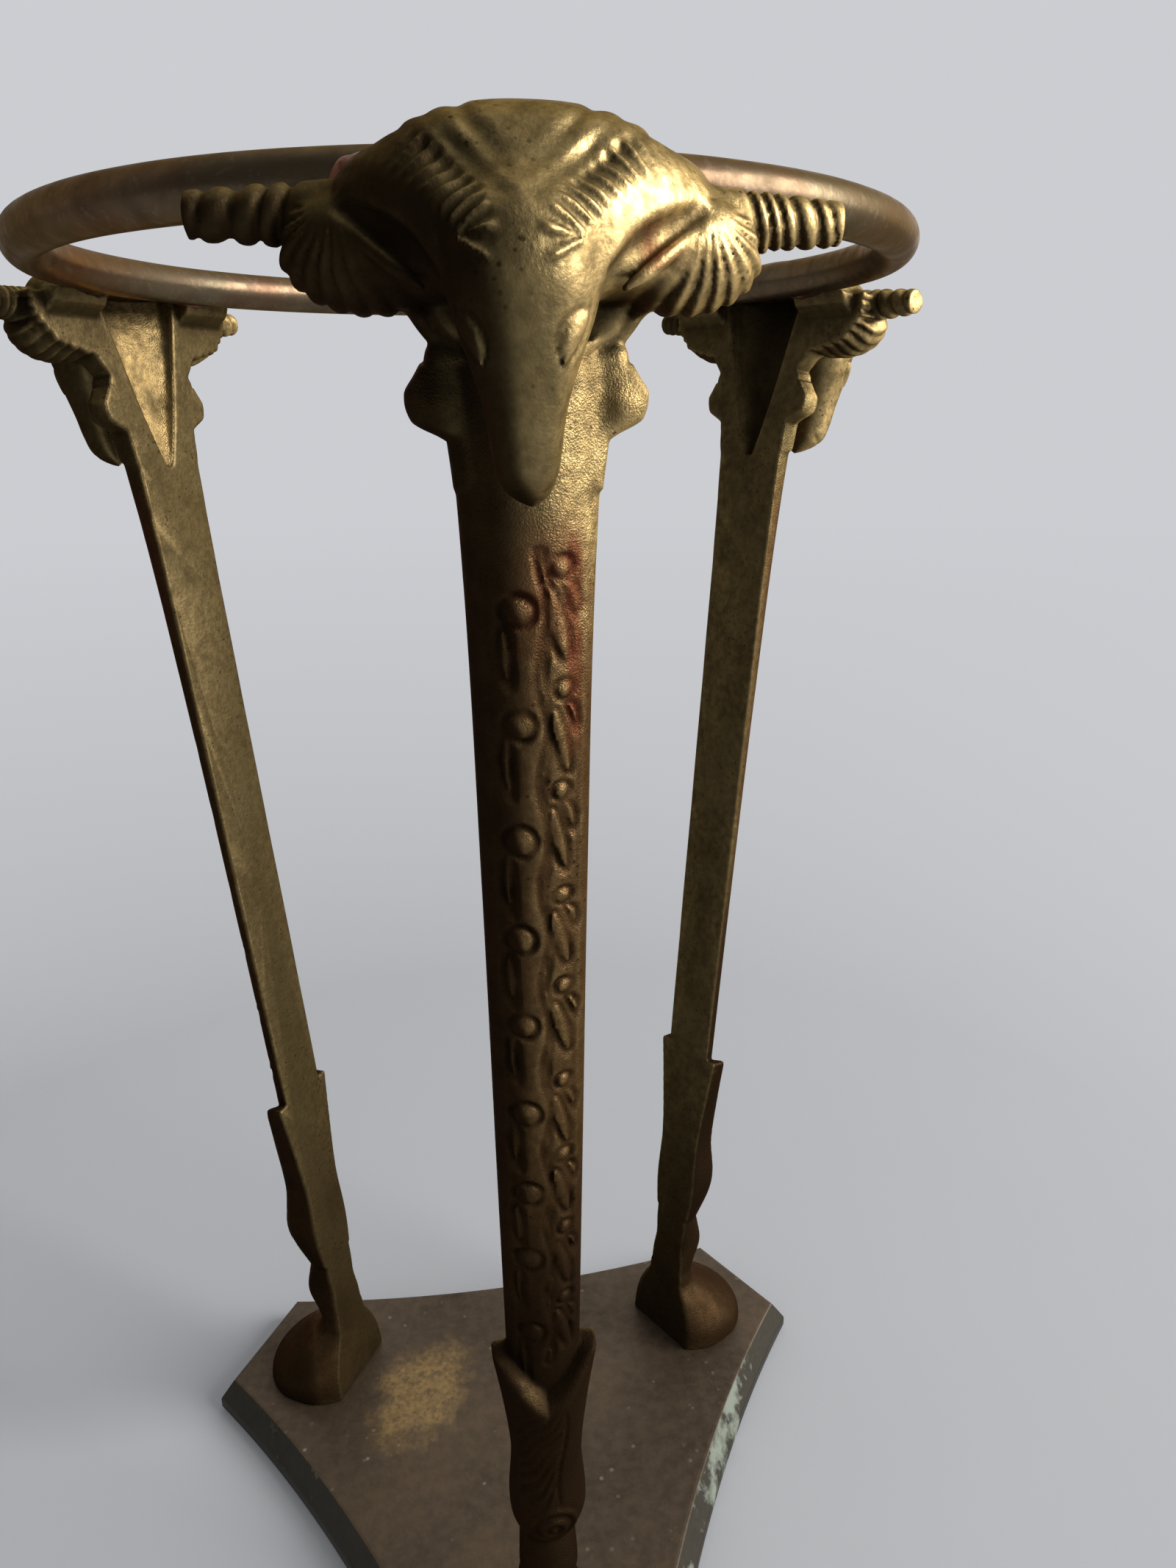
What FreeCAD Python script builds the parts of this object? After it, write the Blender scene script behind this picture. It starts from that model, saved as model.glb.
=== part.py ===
"""Cast brass tripod stand: a three-cornered base, three ram's head legs and a ring.

Millimetres, +Z up. The origin is on the stand's axis, on the underside of the base.
The front leg stands on the -Y side; the right and left legs are the same casting,
turned a third of a turn each way.
"""
import FreeCAD, Part
import math
import os

from FreeCAD import Vector

# Driving dimensions of the stand
RING_RADIUS = 55.0        # axis to the middle of the ring's rod
ROD_DIAMETER = 5.4
RING_HEIGHT = 215.0       # underside of the base to the middle of the rod
BASE_THICKNESS = 7.0
CORNER_REACH = 60.0       # axis to a cut corner, on the top face
CORNER_HALF = 11.0        # half the length of a cut corner
SIDE_REACH = 35.5         # axis to the middle of a hollowed side, on the top face
BEVEL_RUN = 3.0           # how far the bevel stands out beyond the top face
BAND_HEIGHT = 2.6         # upright band below the bevel
FOOT_REACH = 36.5         # axis to a leg's flat back, on the base
TOP_REACH = 58.2          # axis to a leg's flat back, at the height of the ring
LEG_ANGLES = {"front": 0.0, "right": 120.0, "left": -120.0}

# One leg, in its own upright frame: rows of height above the base, half width,
# depth out from the flat back, and how much of that depth is straight side.
HOOF = [(-4.0, 11.8, 20.5, 10.0), (0.0, 11.5, 20.0, 9.5), (5.0, 10.6, 18.2, 8.5),
        (9.0, 8.0, 13.0, 5.0), (12.5, 5.2, 7.6, 2.4), (15.0, 4.3, 5.4, 1.6)]
FETLOCK = [(14.0, 4.4, 5.6, 1.8), (18.0, 4.5, 6.4, 2.2), (22.0, 4.6, 7.6, 3.2),
           (26.0, 4.4, 6.6, 2.4), (30.0, 4.1, 5.2, 1.6)]
BOOT = [(29.0, 4.1, 5.2, 1.6), (36.0, 4.8, 7.8, 3.2), (47.0, 5.2, 8.0, 3.2), (58.0, 6.1, 8.0, 3.2),
        (67.0, 7.3, 7.6, 3.2)]
SHANK = [(54.0, 5.0, 4.6, 1.5), (100.0, 5.5, 4.6, 1.5), (140.0, 5.9, 5.0, 1.7),
         (175.0, 6.5, 6.2, 2.0), (196.0, 7.4, 7.6, 2.4)]
FACE = [(183.0, 2.6, 13.6, 11.2), (186.0, 3.5, 16.4, 13.0), (192.0, 4.5, 17.4, 13.0),
        (198.0, 7.4, 19.4, 12.5), (204.0, 10.2, 19.2, 10.0), (209.0, 11.8, 16.0, 6.5),
        (212.5, 9.2, 11.6, 4.6), (214.0, 5.0, 8.4, 4.2)]
HOLLOW = [(183.5, 0.6, 0.6, 0.1), (195.0, 4.2, 5.4, 1.4), (207.5, 6.8, 9.0, 2.6)]

# The boot's top edge: a V that dips at the front between two side tips
BOOT_DIP_HEIGHT = 60.0
BOOT_TIP_HEIGHT = 66.5

# Flat plate behind the head: half width at heights up the leg
PLATE_OUTLINE = [(6.8, 183.0), (7.4, 187.4), (10.4, 189.2), (10.9, 191.6), (8.5, 195.6),
                 (10.6, 198.2), (17.0, 199.8), (20.6, 203.4), (20.6, 206.6)]
PLATE_THICKNESS = 4.6

# Lip that carries the ring, on each side of the hollow: outline of depth and height
LIP_OUTLINE = [(0.0, 201.6), (-3.2, 204.2), (-3.2, 206.6), (0.0, 206.6)]
LIP_START = 6.9           # middle of the leg to the lip's inner end
LIP_END = 18.6            # middle of the leg to the lip's outer end

# Hair beside the face: middle and half sizes
HAIR_CENTRE = (13.2, 5.4, 203.0)
HAIR_SIZE = (7.2, 5.2, 5.0)

# Horns and ears: points and radii, from the forehead to the tip at the side
HORN = [((3.4, 16.2, 203.8), 2.4), ((7.2, 13.8, 207.6), 2.9), ((12.0, 9.8, 207.8), 3.0),
        ((17.0, 6.2, 206.4), 2.8), ((22.2, 4.6, 205.4), 2.6), ((27.4, 4.0, 205.2), 2.3)]
EAR = [((8.4, 12.8, 200.4), 0.8), ((11.4, 12.4, 202.6), 2.2),
       ((14.2, 10.8, 204.6), 1.9), ((16.4, 8.8, 206.4), 0.5)]
EAR_FLATNESS = 0.6

# Leg screw: slotted, countersunk, from beneath into the hoof
SCREW_DIAMETER = 4.0
SCREW_HEAD = 8.0
SCREW_SINK = 0.4          # head below the underside of the base
SCREW_RIM = 0.3           # upright rim of the head
SCREW_HOLD = 7.0          # length in the hoof
SCREW_SET = 8.0           # leg's flat back to the screw, on the base
HOLE_CLEARANCE = 0.15     # around the screw in the base
THREAD_CLEARANCE = 0.06   # around the screw in the hoof
HOLE_OVERRUN = 1.0        # tapped hole beyond the screw's end
SLOT_WIDTH = 1.0
SLOT_DEPTH = 1.1

# Braze: a bead between the ring and the flat back, above each lip
BRAZE_RADIUS = 2.9
BRAZE_OUT = 2.2           # middle of the rod to the middle of the bead, outwards
BRAZE_START = 7.6         # degrees round the ring from the middle of the leg
BRAZE_END = 15.5

# Worked out from the dimensions above
ROD_RADIUS = ROD_DIAMETER / 2
LEG_RISE = RING_HEIGHT - BASE_THICKNESS
LEG_TILT = math.degrees(math.atan2(TOP_REACH - FOOT_REACH, LEG_RISE))
FAR = 400.0
UP = Vector(0, 0, 1)


def at(side, depth, height):
    """A point of the upright leg: sideways, out from its flat back, and up."""
    return Vector(side, -depth, height)


def fuse(shapes):
    return shapes[0].fuse(shapes[1:]).removeSplitter()


def section(height, half, depth, side):
    """One closed outline across the leg: flat back, straight sides and a round front."""
    back_left, back_right = at(-half, 0, height), at(half, 0, height)
    front_left, front_right = at(-half, side, height), at(half, side, height)
    front = Part.Arc(front_right, at(0, depth, height), front_left).toShape()
    edges = [Part.makeLine(back_left, back_right), Part.makeLine(back_right, front_right),
             front, Part.makeLine(front_left, back_left)]
    return Part.Wire(edges)


def loft(rows):
    return Part.makeLoft([section(*row) for row in rows], True, False)


def tapered_rod(rows, flatness=1.0):
    """A rod of changing thickness through points, such as a horn; flatness thins it outwards."""
    centres = [at(*point) for point, radius in rows]
    path = Part.BSplineCurve()
    path.interpolate(centres)
    rims = []
    for centre, (point, radius) in zip(centres, rows):
        along = path.tangent(path.parameter(centre))[0]
        across = along.cross(at(0, 1, 0)).normalize()
        out = across.cross(along).normalize() * flatness
        turns = [math.pi * step / 4 for step in range(9)]
        rim = [centre + (across * math.cos(turn) + out * math.sin(turn)) * radius for turn in turns]
        quarters = [Part.Arc(*rim[step:step + 3]).toShape() for step in (0, 2, 4, 6)]
        rims.append(Part.Wire(quarters))
    return Part.makeLoft(rims, True, False)


def ellipsoid(centre, size):
    matrix = FreeCAD.Matrix()
    matrix.scale(Vector(*size))
    ball = Part.makeSphere(1.0).transformGeometry(matrix)
    ball.translate(at(*centre))
    return ball


def with_mirror(shape):
    """A right-hand piece and its left-hand twin."""
    return [shape, shape.mirror(Vector(0, 0, 0), Vector(1, 0, 0))]


def head_plate():
    """The flat plate that carries the head, with a lobe and a wing on each side."""
    right = [at(x, 0, height) for x, height in PLATE_OUTLINE]
    left = [at(-x, 0, height) for x, height in reversed(PLATE_OUTLINE)]
    outline = Part.makePolygon(right + left + right[:1])
    return Part.Face(outline).extrude(at(0, PLATE_THICKNESS, 0))


def lip():
    """The right-hand lip under the ring, standing in from the flat back."""
    corners = [at(LIP_START, depth, height) for depth, height in LIP_OUTLINE]
    face = Part.Face(Part.makePolygon(corners + corners[:1]))
    return face.extrude(at(LIP_END - LIP_START, 0, 0))


def boot():
    """The goat's lower leg, its top edge cut to a V around the shank."""
    half = BOOT[-1][1]
    outline = [(0, BOOT_DIP_HEIGHT), (half, BOOT_TIP_HEIGHT), (half, BOOT_TIP_HEIGHT + half),
               (-half, BOOT_TIP_HEIGHT + half), (-half, BOOT_TIP_HEIGHT)]
    corners = [at(side, -half, height) for side, height in outline]
    above = Part.Face(Part.makePolygon(corners + corners[:1])).extrude(at(0, 4 * half, 0))
    return loft(BOOT).cut(above)


def upright_leg():
    """One leg before it is tilted: hoof, boot, shank, plate, lips, head, horns, ears and hair."""
    pieces = [loft(HOOF), loft(FETLOCK), boot(), loft(SHANK), head_plate(), loft(FACE)]
    hair = ellipsoid(HAIR_CENTRE, HAIR_SIZE)
    for piece in (lip(), tapered_rod(HORN), tapered_rod(EAR, EAR_FLATNESS), hair):
        pieces += with_mirror(piece)
    return fuse(pieces).cut(loft(HOLLOW))


def ring():
    return Part.makeTorus(RING_RADIUS, ROD_RADIUS, Vector(0, 0, RING_HEIGHT), UP)


def screw_place():
    return Vector(0, -(FOOT_REACH + SCREW_SET), 0)


def leg():
    """The front leg in place: tilted, cut to the base and the ring, and tapped for its screw."""
    body = upright_leg()
    body.rotate(Vector(0, 0, 0), Vector(1, 0, 0), LEG_TILT)
    body.translate(Vector(0, -FOOT_REACH, BASE_THICKNESS))
    below = Part.makeBox(FAR, FAR, FAR, Vector(-FAR / 2, -FAR / 2, BASE_THICKNESS - FAR))
    hole = Part.makeCylinder(SCREW_DIAMETER / 2 + THREAD_CLEARANCE, SCREW_HOLD + HOLE_OVERRUN,
                             screw_place() + UP * BASE_THICKNESS, UP)
    return body.cut([below, ring(), hole])


def side_edge(first, last, angle, reach):
    """A hollowed side of the base: an arc that bows in towards the axis."""
    middle = Vector(reach * math.cos(angle), reach * math.sin(angle), first.z)
    return Part.Arc(first, middle, last).toShape()


def base_outline(grow, height):
    """The base's outline: three straight cut corners joined by three hollowed sides."""
    corners = []
    for turn in (-90.0, 30.0, 150.0):
        angle = math.radians(turn)
        out = Vector(math.cos(angle), math.sin(angle), 0) * (CORNER_REACH + grow)
        along = Vector(-math.sin(angle), math.cos(angle), 0) * (CORNER_HALF + grow * math.tan(math.pi / 6))
        corners.append((out - along + UP * height, out + along + UP * height))
    edges = []
    for index, (start, end) in enumerate(corners):
        following = corners[(index + 1) % 3][0]
        edges.append(Part.makeLine(start, end))
        edges.append(side_edge(end, following, math.radians(-30.0 + 120.0 * index), SIDE_REACH + grow))
    return Part.Wire(edges)


def base_plate():
    """The base: an upright band, a bevel up to the top face, and three countersunk holes."""
    band = Part.Face(base_outline(BEVEL_RUN, 0)).extrude(UP * BAND_HEIGHT)
    rims = [base_outline(BEVEL_RUN, BAND_HEIGHT), base_outline(0, BASE_THICKNESS)]
    bevel = Part.makeLoft(rims, True, True)
    plate = fuse([band, bevel])
    for turn in LEG_ANGLES.values():
        plate = plate.cut(turned(screw_body(HOLE_CLEARANCE, 0.0), turn))
    return plate


def screw_body(gap, low):
    """A countersunk screw's solid of revolution from low upwards; a gap around it makes its hole."""
    head, shaft = SCREW_HEAD / 2 + gap, SCREW_DIAMETER / 2 + gap
    rim = SCREW_SINK + SCREW_RIM
    top = BASE_THICKNESS + SCREW_HOLD
    profile = [Vector(0, 0, low), Vector(head, 0, low), Vector(head, 0, rim),
               Vector(shaft, 0, rim + head - shaft), Vector(shaft, 0, top), Vector(0, 0, top)]
    body = Part.Face(Part.makePolygon(profile + profile[:1])).revolve(Vector(0, 0, 0), UP, 360)
    body.translate(screw_place())
    return body


def leg_screw():
    """A slotted countersunk screw, its head just below the underside of the base."""
    slot = Part.makeBox(SCREW_HEAD * 2, SLOT_WIDTH, SLOT_DEPTH,
                        screw_place() + Vector(-SCREW_HEAD, -SLOT_WIDTH / 2, SCREW_SINK))
    return screw_body(0.0, SCREW_SINK).cut(slot)


def braze(front_leg):
    """Filler metal between the ring and the front leg: the right-hand bead and the left-hand one."""
    middle = Vector(0, 0, RING_HEIGHT)
    sweep = BRAZE_END - BRAZE_START
    bead = Part.makeTorus(RING_RADIUS + BRAZE_OUT, BRAZE_RADIUS, middle, UP, -180, 180, sweep)
    bead.rotate(Vector(0, 0, 0), UP, BRAZE_START - 90.0)
    return with_mirror(bead.cut([ring(), front_leg]))


def turned(shape, turn):
    copy = shape.copy()
    copy.rotate(Vector(0, 0, 0), UP, turn)
    return copy


def main():
    os.makedirs("parts", exist_ok=True)
    front_leg = leg()
    screw = leg_screw()
    right_bead, left_bead = braze(front_leg)
    nodes = {"base_plate": base_plate(), "top_ring": ring()}
    for side, turn in LEG_ANGLES.items():
        nodes[side + "_leg"] = turned(front_leg, turn)
        nodes[side + "_leg_screw"] = turned(screw, turn)
        nodes[side + "_leg_right_braze"] = turned(right_bead, turn)
        nodes[side + "_leg_left_braze"] = turned(left_bead, turn)
    for name, shape in nodes.items():
        volume = round(shape.Volume, 1)
        print(name, len(shape.Solids), "solids", volume, "mm3", shape.isValid())
        shape.exportStep("parts/" + name + ".step")



main()
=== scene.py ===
"""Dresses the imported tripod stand: ram's head castings, ring, base, braze, screws and a plain stage."""
import math

import bmesh
import bpy
import numpy as np
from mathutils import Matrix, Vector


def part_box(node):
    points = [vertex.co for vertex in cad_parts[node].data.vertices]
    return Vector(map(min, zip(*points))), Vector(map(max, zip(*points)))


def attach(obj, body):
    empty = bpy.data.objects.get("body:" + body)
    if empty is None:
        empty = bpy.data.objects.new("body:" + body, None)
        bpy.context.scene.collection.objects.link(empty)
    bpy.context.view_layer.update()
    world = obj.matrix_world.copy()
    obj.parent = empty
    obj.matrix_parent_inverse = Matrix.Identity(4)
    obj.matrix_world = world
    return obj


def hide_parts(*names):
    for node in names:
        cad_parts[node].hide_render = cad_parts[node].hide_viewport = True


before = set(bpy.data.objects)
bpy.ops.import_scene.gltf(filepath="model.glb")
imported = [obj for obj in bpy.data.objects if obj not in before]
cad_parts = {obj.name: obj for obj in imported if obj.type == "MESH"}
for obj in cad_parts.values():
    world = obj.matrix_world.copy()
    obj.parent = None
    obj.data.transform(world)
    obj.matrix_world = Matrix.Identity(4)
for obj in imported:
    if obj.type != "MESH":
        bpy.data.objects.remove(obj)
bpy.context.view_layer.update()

import openvdb
from bpy.props import FloatProperty, FloatVectorProperty, IntProperty, PointerProperty
from mathutils import Matrix, Vector

bl_info = {
    "name": "Ram's Head Tripod Stand",
    "version": (1, 0, 0),
    "blender": (4, 5, 0),
    "location": "View3D > Sidebar > Tripod",
    "description": "Makes the castings, ring, base, braze and stage of a ram's head tripod stand",
    "category": "Add Mesh",
}

MM = 0.001
BODY = "root"
LEG_TRIANGLES = 190000
LEG_TURNS = {"front": 0.0, "right": 120.0, "left": -120.0}
FAR = 4.0                 # distances in the clay are kept within this, in millimetres

# One leg in its own upright frame, in millimetres: x sideways, depth out from the
# flat back, height up from the base. Bars are rows of height, half width, depth
# and straight side.
HOOF = [(-4.0, 11.8, 20.5, 10.0), (0.0, 11.5, 20.0, 9.5), (5.0, 10.6, 18.2, 8.5),
        (9.0, 8.0, 13.0, 5.0), (12.5, 5.2, 7.6, 2.4), (15.0, 4.3, 5.4, 1.6)]
FETLOCK = [(14.0, 4.4, 5.6, 1.8), (18.0, 4.5, 6.4, 2.2), (22.0, 4.6, 7.6, 3.2),
           (26.0, 4.4, 6.6, 2.4), (30.0, 4.1, 5.2, 1.6)]
BOOT = [(29.0, 4.5, 5.8, 1.6), (36.0, 5.7, 8.6, 3.2), (47.0, 5.2, 7.5, 3.2),
        (58.0, 6.1, 7.4, 3.2), (67.0, 7.3, 7.0, 3.2)]
SHANK = [(54.0, 5.0, 4.6, 1.5), (100.0, 5.5, 4.6, 1.5), (140.0, 5.9, 5.0, 1.7),
         (175.0, 6.5, 6.2, 2.0), (196.0, 7.4, 7.6, 2.4)]
HOLLOW = [(182.0, 0.8, 0.6, 0.1), (190.0, 3.4, 2.8, 0.9), (198.0, 5.6, 3.6, 1.2),
          (207.5, 8.2, 6.4, 2.0)]
BOOT_DIP_HEIGHT = 61.0
BOOT_TIP_HEIGHT = 66.5
BOOT_LEAN = 0.8
RING_PLAY = 0.05          # spare room round the ring where it lies on a head

# The head. The face has rows like a bar's. Rods have rows of x, depth, height and radius,
# and lines that are only traced have no radius.
FACE = [(182.4, 1.8, 12.6, 10.4), (185.0, 2.7, 15.6, 12.6), (188.0, 3.2, 16.9, 13.2),
        (191.5, 3.7, 17.6, 13.0), (195.0, 4.8, 18.3, 12.6), (198.5, 6.0, 18.9, 12.0),
        (202.0, 6.6, 19.0, 11.2), (206.0, 6.8, 17.2, 9.8), (210.0, 6.2, 13.8, 7.6)]
CROWN_CENTRE = (0.0, 5.5, 203.4)
CROWN_SIZE = (14.4, 8.4, 10.2)
CROWN_POWER = 2.4
CROWN_UNDER = 4.6         # its height below the centre
PARTINGS = [[(6.4, 0.0, 212.6), (5.6, 6.0, 212.6), (3.4, 11.6, 211.0), (0.2, 15.9, 208.2)],
            [(9.4, 0.0, 211.6), (8.2, 6.0, 211.8), (5.2, 11.8, 209.8), (1.3, 16.6, 206.8)],
            [(12.0, 1.0, 210.4), (10.4, 6.0, 210.8), (7.0, 11.4, 209.4), (3.2, 15.8, 207.0)]]
PARTING_DEPTH = 0.5
HORN = [(3.0, 15.4, 202.8, 1.8), (5.0, 12.6, 204.8, 2.8), (8.0, 9.2, 206.0, 3.7),
        (11.2, 5.4, 206.0, 4.3), (12.2, 2.6, 205.4, 4.0)]
HORN_CREST = [(4.1, 17.8, 201.8), (3.4, 18.0, 203.9), (4.2, 16.5, 205.6), (5.9, 14.0, 207.4),
              (8.5, 11.0, 209.0), (11.6, 8.0, 210.0)]
RIDGE_PITCH = 1.25
TIP = [(14.6, 5.4, 205.6, 2.4), (18.5, 4.8, 205.4, 2.35), (22.5, 4.4, 205.3, 2.2), (27.6, 4.0, 205.2, 1.8)]
TIP_END = 27.4
SCALE_PITCH = {"left": 2.3, "right": 1.45}
SCALE_HEIGHT = 0.5
ROLL = [(4.7, 14.6, 199.6, 0.9), (5.2, 14.4, 201.4, 1.3), (6.3, 13.6, 203.2, 1.55), (8.2, 11.8, 204.8, 1.7),
        (10.8, 9.7, 206.0, 1.7), (13.4, 7.2, 206.6, 1.5), (15.6, 5.6, 206.6, 1.0)]
EAR_HOLLOW = [(7.3, 14.0, 201.4, 0.6), (9.4, 13.1, 202.9, 1.15), (11.5, 11.6, 204.2, 1.1),
              (14.2, 9.5, 205.8, 0.4)]
EAR_RIM = [(8.0, 12.4, 200.2, 0.3), (9.7, 12.2, 201.3, 0.6), (11.8, 11.0, 202.8, 0.65),
           (15.2, 8.4, 205.4, 0.4)]
EYE = [(3.2, 17.2, 195.0), (3.9, 16.9, 196.9), (4.9, 15.8, 198.8)]
EYE_WIDTH = 1.15
MOUTH = [(3.0, 11.0, 187.2, 0.25), (2.6, 13.4, 185.6, 0.3), (1.5, 15.0, 184.6, 0.3), (0.0, 15.4, 184.3, 0.25)]
HAIR_CENTRE = (13.4, 5.2, 202.8)
HAIR_SIZE = (6.9, 5.2, 4.9)
HAIR_FAN = (15.2, 206.4)  # x and height that the hair below the ear spreads from
FLUTES = 14.0             # locks of that hair to each half turn
HEAD_TURN = -0.17         # sideways lean of the face for each millimetre that it stands out
LOBE_CENTRE = (8.5, 1.8, 190.7)
LOBE_SIZE = (2.5, 3.2, 2.2)
# The plate's half outline is in x and height, the lip's profile in depth and height
PLATE_OUTLINE = [(6.8, 183.0), (7.4, 187.4), (10.4, 189.2), (10.9, 191.6), (8.5, 195.6),
                 (10.6, 198.2), (17.0, 199.8), (20.4, 203.4), (20.4, 206.6)]
PLATE_THICKNESS = 4.6
LIP_OUTLINE = [(0.6, 203.2), (-2.2, 205.0), (-3.0, 206.6), (0.6, 206.6)]
LIP_SPAN = (8.6, 18.6)    # in x

# Ornament of the shank and boot
GROUND_DROP = 0.16        # sunk ground of the shank below its plain borders
GROOVE_DEPTH = 0.5        # chased line round the ornament
SWELL = 0.3               # most that the ornament stands proud within that line
GROUND_SPAN = (68.0, 178.5)
BORDER_WIDTH = 1.7
CURL_HEIGHT = 36.0
CURL_RADIUS = 3.9
CURL_PITCH = 1.7
CURL_DEPTH = 0.24
STRAND_PITCH = 2.5
STRAND_DEPTH = 0.3
STEM_HALF = 0.25
STEM_SWING = 0.5
STEM_SIDE = 0.9           # middle of the shank to the stem, the berries and the buds
BERRY_SIDE = 1.95
BUD_SIDE = 2.65
POD_WIDTH = 0.5
LONG_LEAF_WIDTH = 0.72
SHORT_LEAF_WIDTH = 0.55

# Blocks of clay that a shape or detail reaches: lowest and highest x, depth and height
LEG_BLOCK = ((-29.5, -4.5, -3.0), (29.5, 21.5, 216.0))
BACK_BLOCK = ((-60.0, -6.0, -6.0), (60.0, 60.0, 260.0))
SOLE_BLOCK = ((-60.0, -6.0, -6.0), (60.0, 60.0, 12.0))
SHANK_BLOCK = ((-9.0, 0.0, 60.0), (9.0, 10.0, 185.0))
STRAND_BLOCK = ((-9.0, 0.0, 38.0), (9.0, 11.0, 62.0))
CURL_BLOCK = ((-6.0, 0.0, 29.0), (6.0, 11.0, 42.5))
PLATE_BLOCK = ((-23.0, -FAR, 181.0), (23.0, 7.0, 208.6))
LIP_BLOCK = ((5.0, -5.0, 200.0), (20.5, 2.0, 208.5))
RING_BLOCK = ((-28.0, -12.0, 202.0), (28.0, 6.0, 215.5))
CROWN_BLOCK = ((-15.0, -FAR, 192.0), (15.0, 18.5, 215.0))
PARTING_BLOCK = ((-15.0, -0.5, 204.0), (15.0, 18.5, 215.0))
RIDGE_BLOCK = ((-15.0, 5.0, 202.0), (15.0, 20.0, 214.0))
HAIR_BLOCK = ((-23.0, -0.5, 194.0), (23.0, 12.0, 207.0))
END_BLOCK = ((-31.0, -1.0, 200.0), (31.0, 9.0, 210.0))
SCALE_BLOCK = ((-30.0, 0.0, 199.0), (30.0, 9.0, 210.0))
EYE_BLOCK = ((-8.0, 13.0, 192.0), (8.0, 20.0, 202.0))

# Wear of a casting: rounds of smoothing, and how far from the smoothed surface counts in full
FINE_ROUNDS = 14
FINE_HOLLOW = 0.16
FINE_RIDGE = 0.14
BROAD_ROUNDS = 100
BROAD_HOLLOW = 0.7
BROAD_RIDGE = 0.8

# Patina, painted highlight and painted shade of a casting: where a mark starts, is full, fades and ends
CHIN_GRAIN = (158.0, 176.0, 193.0, 196.0)      # heights
CHIN_STAIN = (166.0, 171.0, 178.0, 184.0)
CHIN_STAIN_SIDE = (-3.0, 0.5, 3.6, 4.6)        # across the leg
STREAK = (154.0, 162.0, 176.0, 182.0)
STREAK_SIDE = (2.8, 3.4, 4.3, 5.0)
EAR_STAIN = (201.0, 202.0, 204.5, 205.5)
EAR_STAIN_SIDE = (7.5, 9.0, 13.5, 15.5)
HEAD_FADE = (172.0, 186.0)                     # heights from shank to head
GILT_HOLLOW = 183.0                            # height above which the hollow is grainy, and golden with a painted highlight on its faces turned right
LEG_MIDDLE = 6.0                               # depth of a casting's middle
FRONT_SHADE = 0.88                             # painted shade, partly dark patina, on the front leg's left and on faces turned from the lamp
REAR_SHADE = 0.56

# The base, in millimetres
CORNER_REACH = 60.0
CORNER_HALF = 11.0
SIDE_REACH = 35.5
SIDE_STEPS = 48
CORNER_STEPS = 8
# Rows of growth beyond that outline and height, and rows of radius and height
EDGE_ROWS = [(2.5, 0.0), (2.85, 0.12), (3.0, 0.5), (3.0, 2.3), (2.86, 2.75), (0.45, 6.7), (0.2, 6.93),
             (-0.25, 7.0)]
SCREW_HOLE = [(0.0, -1.0), (4.15, -1.0), (4.15, 0.7), (2.15, 2.7), (2.15, 8.0), (0.0, 8.0)]
EDGE_TOP = 6.8            # height below which the base's outside is its edge
EDGE_REACH = 30.0         # axis to the nearest point of that edge, or less
PATCH_MIDDLE = (-19.48, 10.5)
PATCH_HALF = (8.4, 10.52)
PATCH_SLANT = 0.24        # sideways shift of the rubbed patch for each millimetre towards the back

# Braze: angle round the ring from the middle of the leg, in degrees, and radius in millimetres
BRAZE_ROWS = [(7.2, 1.1), (8.6, 2.2), (10.4, 2.6), (12.6, 2.4), (14.4, 2.0), (15.6, 1.0)]
BRAZE_OUT = 1.9
BRAZE_DROP = 0.5
BRAZE_CELL = 0.22
BRAZE_LUMPS = 0.16
RING_WOBBLE = 0.15        # unevenness of the bent rod

# Stage, in metres: each lamp's place and size, then where the mirrored window and sheet are
# and how bright they, the wall and the dark corners look
LAMPS = {"key": ((1.60, -0.55, 1.00), 1.20), "fill": ((-0.30, -0.75, 0.45), 0.60)}
LAMP_TARGET = (0.0, 0.0, 0.12)
WINDOW_WAY = (0.74, 0.26, 0.62)
WINDOW_BRIGHT = 0.92
SHEET_WAY = (-0.55, 0.79, 0.27)
SHEET_BRIGHT = 0.4
WALL_BRIGHT = 0.52
CORNER_BRIGHT = 0.07
FLOOR_RADIUS = 6.0
FLOOR_DROP = 0.0002


class StandSizes(bpy.types.PropertyGroup):
    """Sizes of the stand that fix where its pieces meet."""
    ring_radius: FloatProperty(
        name="Ring Radius", description="Axis to the middle of the ring's rod",
        default=55.0 * MM, unit="LENGTH")
    rod_diameter: FloatProperty(
        name="Rod Diameter", description="Thickness of the ring's rod", default=5.4 * MM, unit="LENGTH")
    ring_height: FloatProperty(
        name="Ring Height", description="Underside of the base to the middle of the rod",
        default=215.0 * MM, unit="LENGTH")
    base_thickness: FloatProperty(
        name="Base Thickness", description="Height of the base's top face",
        default=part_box("base_plate")[1].z, unit="LENGTH")
    foot_reach: FloatProperty(
        name="Foot Reach", description="Axis to a leg's flat back on the base",
        default=36.5 * MM, unit="LENGTH")
    top_reach: FloatProperty(
        name="Top Reach", description="Axis to a leg's flat back at the ring",
        default=58.2 * MM, unit="LENGTH")
    screw_set: FloatProperty(
        name="Screw Set", description="A leg's flat back to its screw, on the base",
        default=8.0 * MM, unit="LENGTH")
    cell: FloatProperty(
        name="Cell", description="Finest detail of the castings", default=0.27 * MM, unit="LENGTH")


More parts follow.
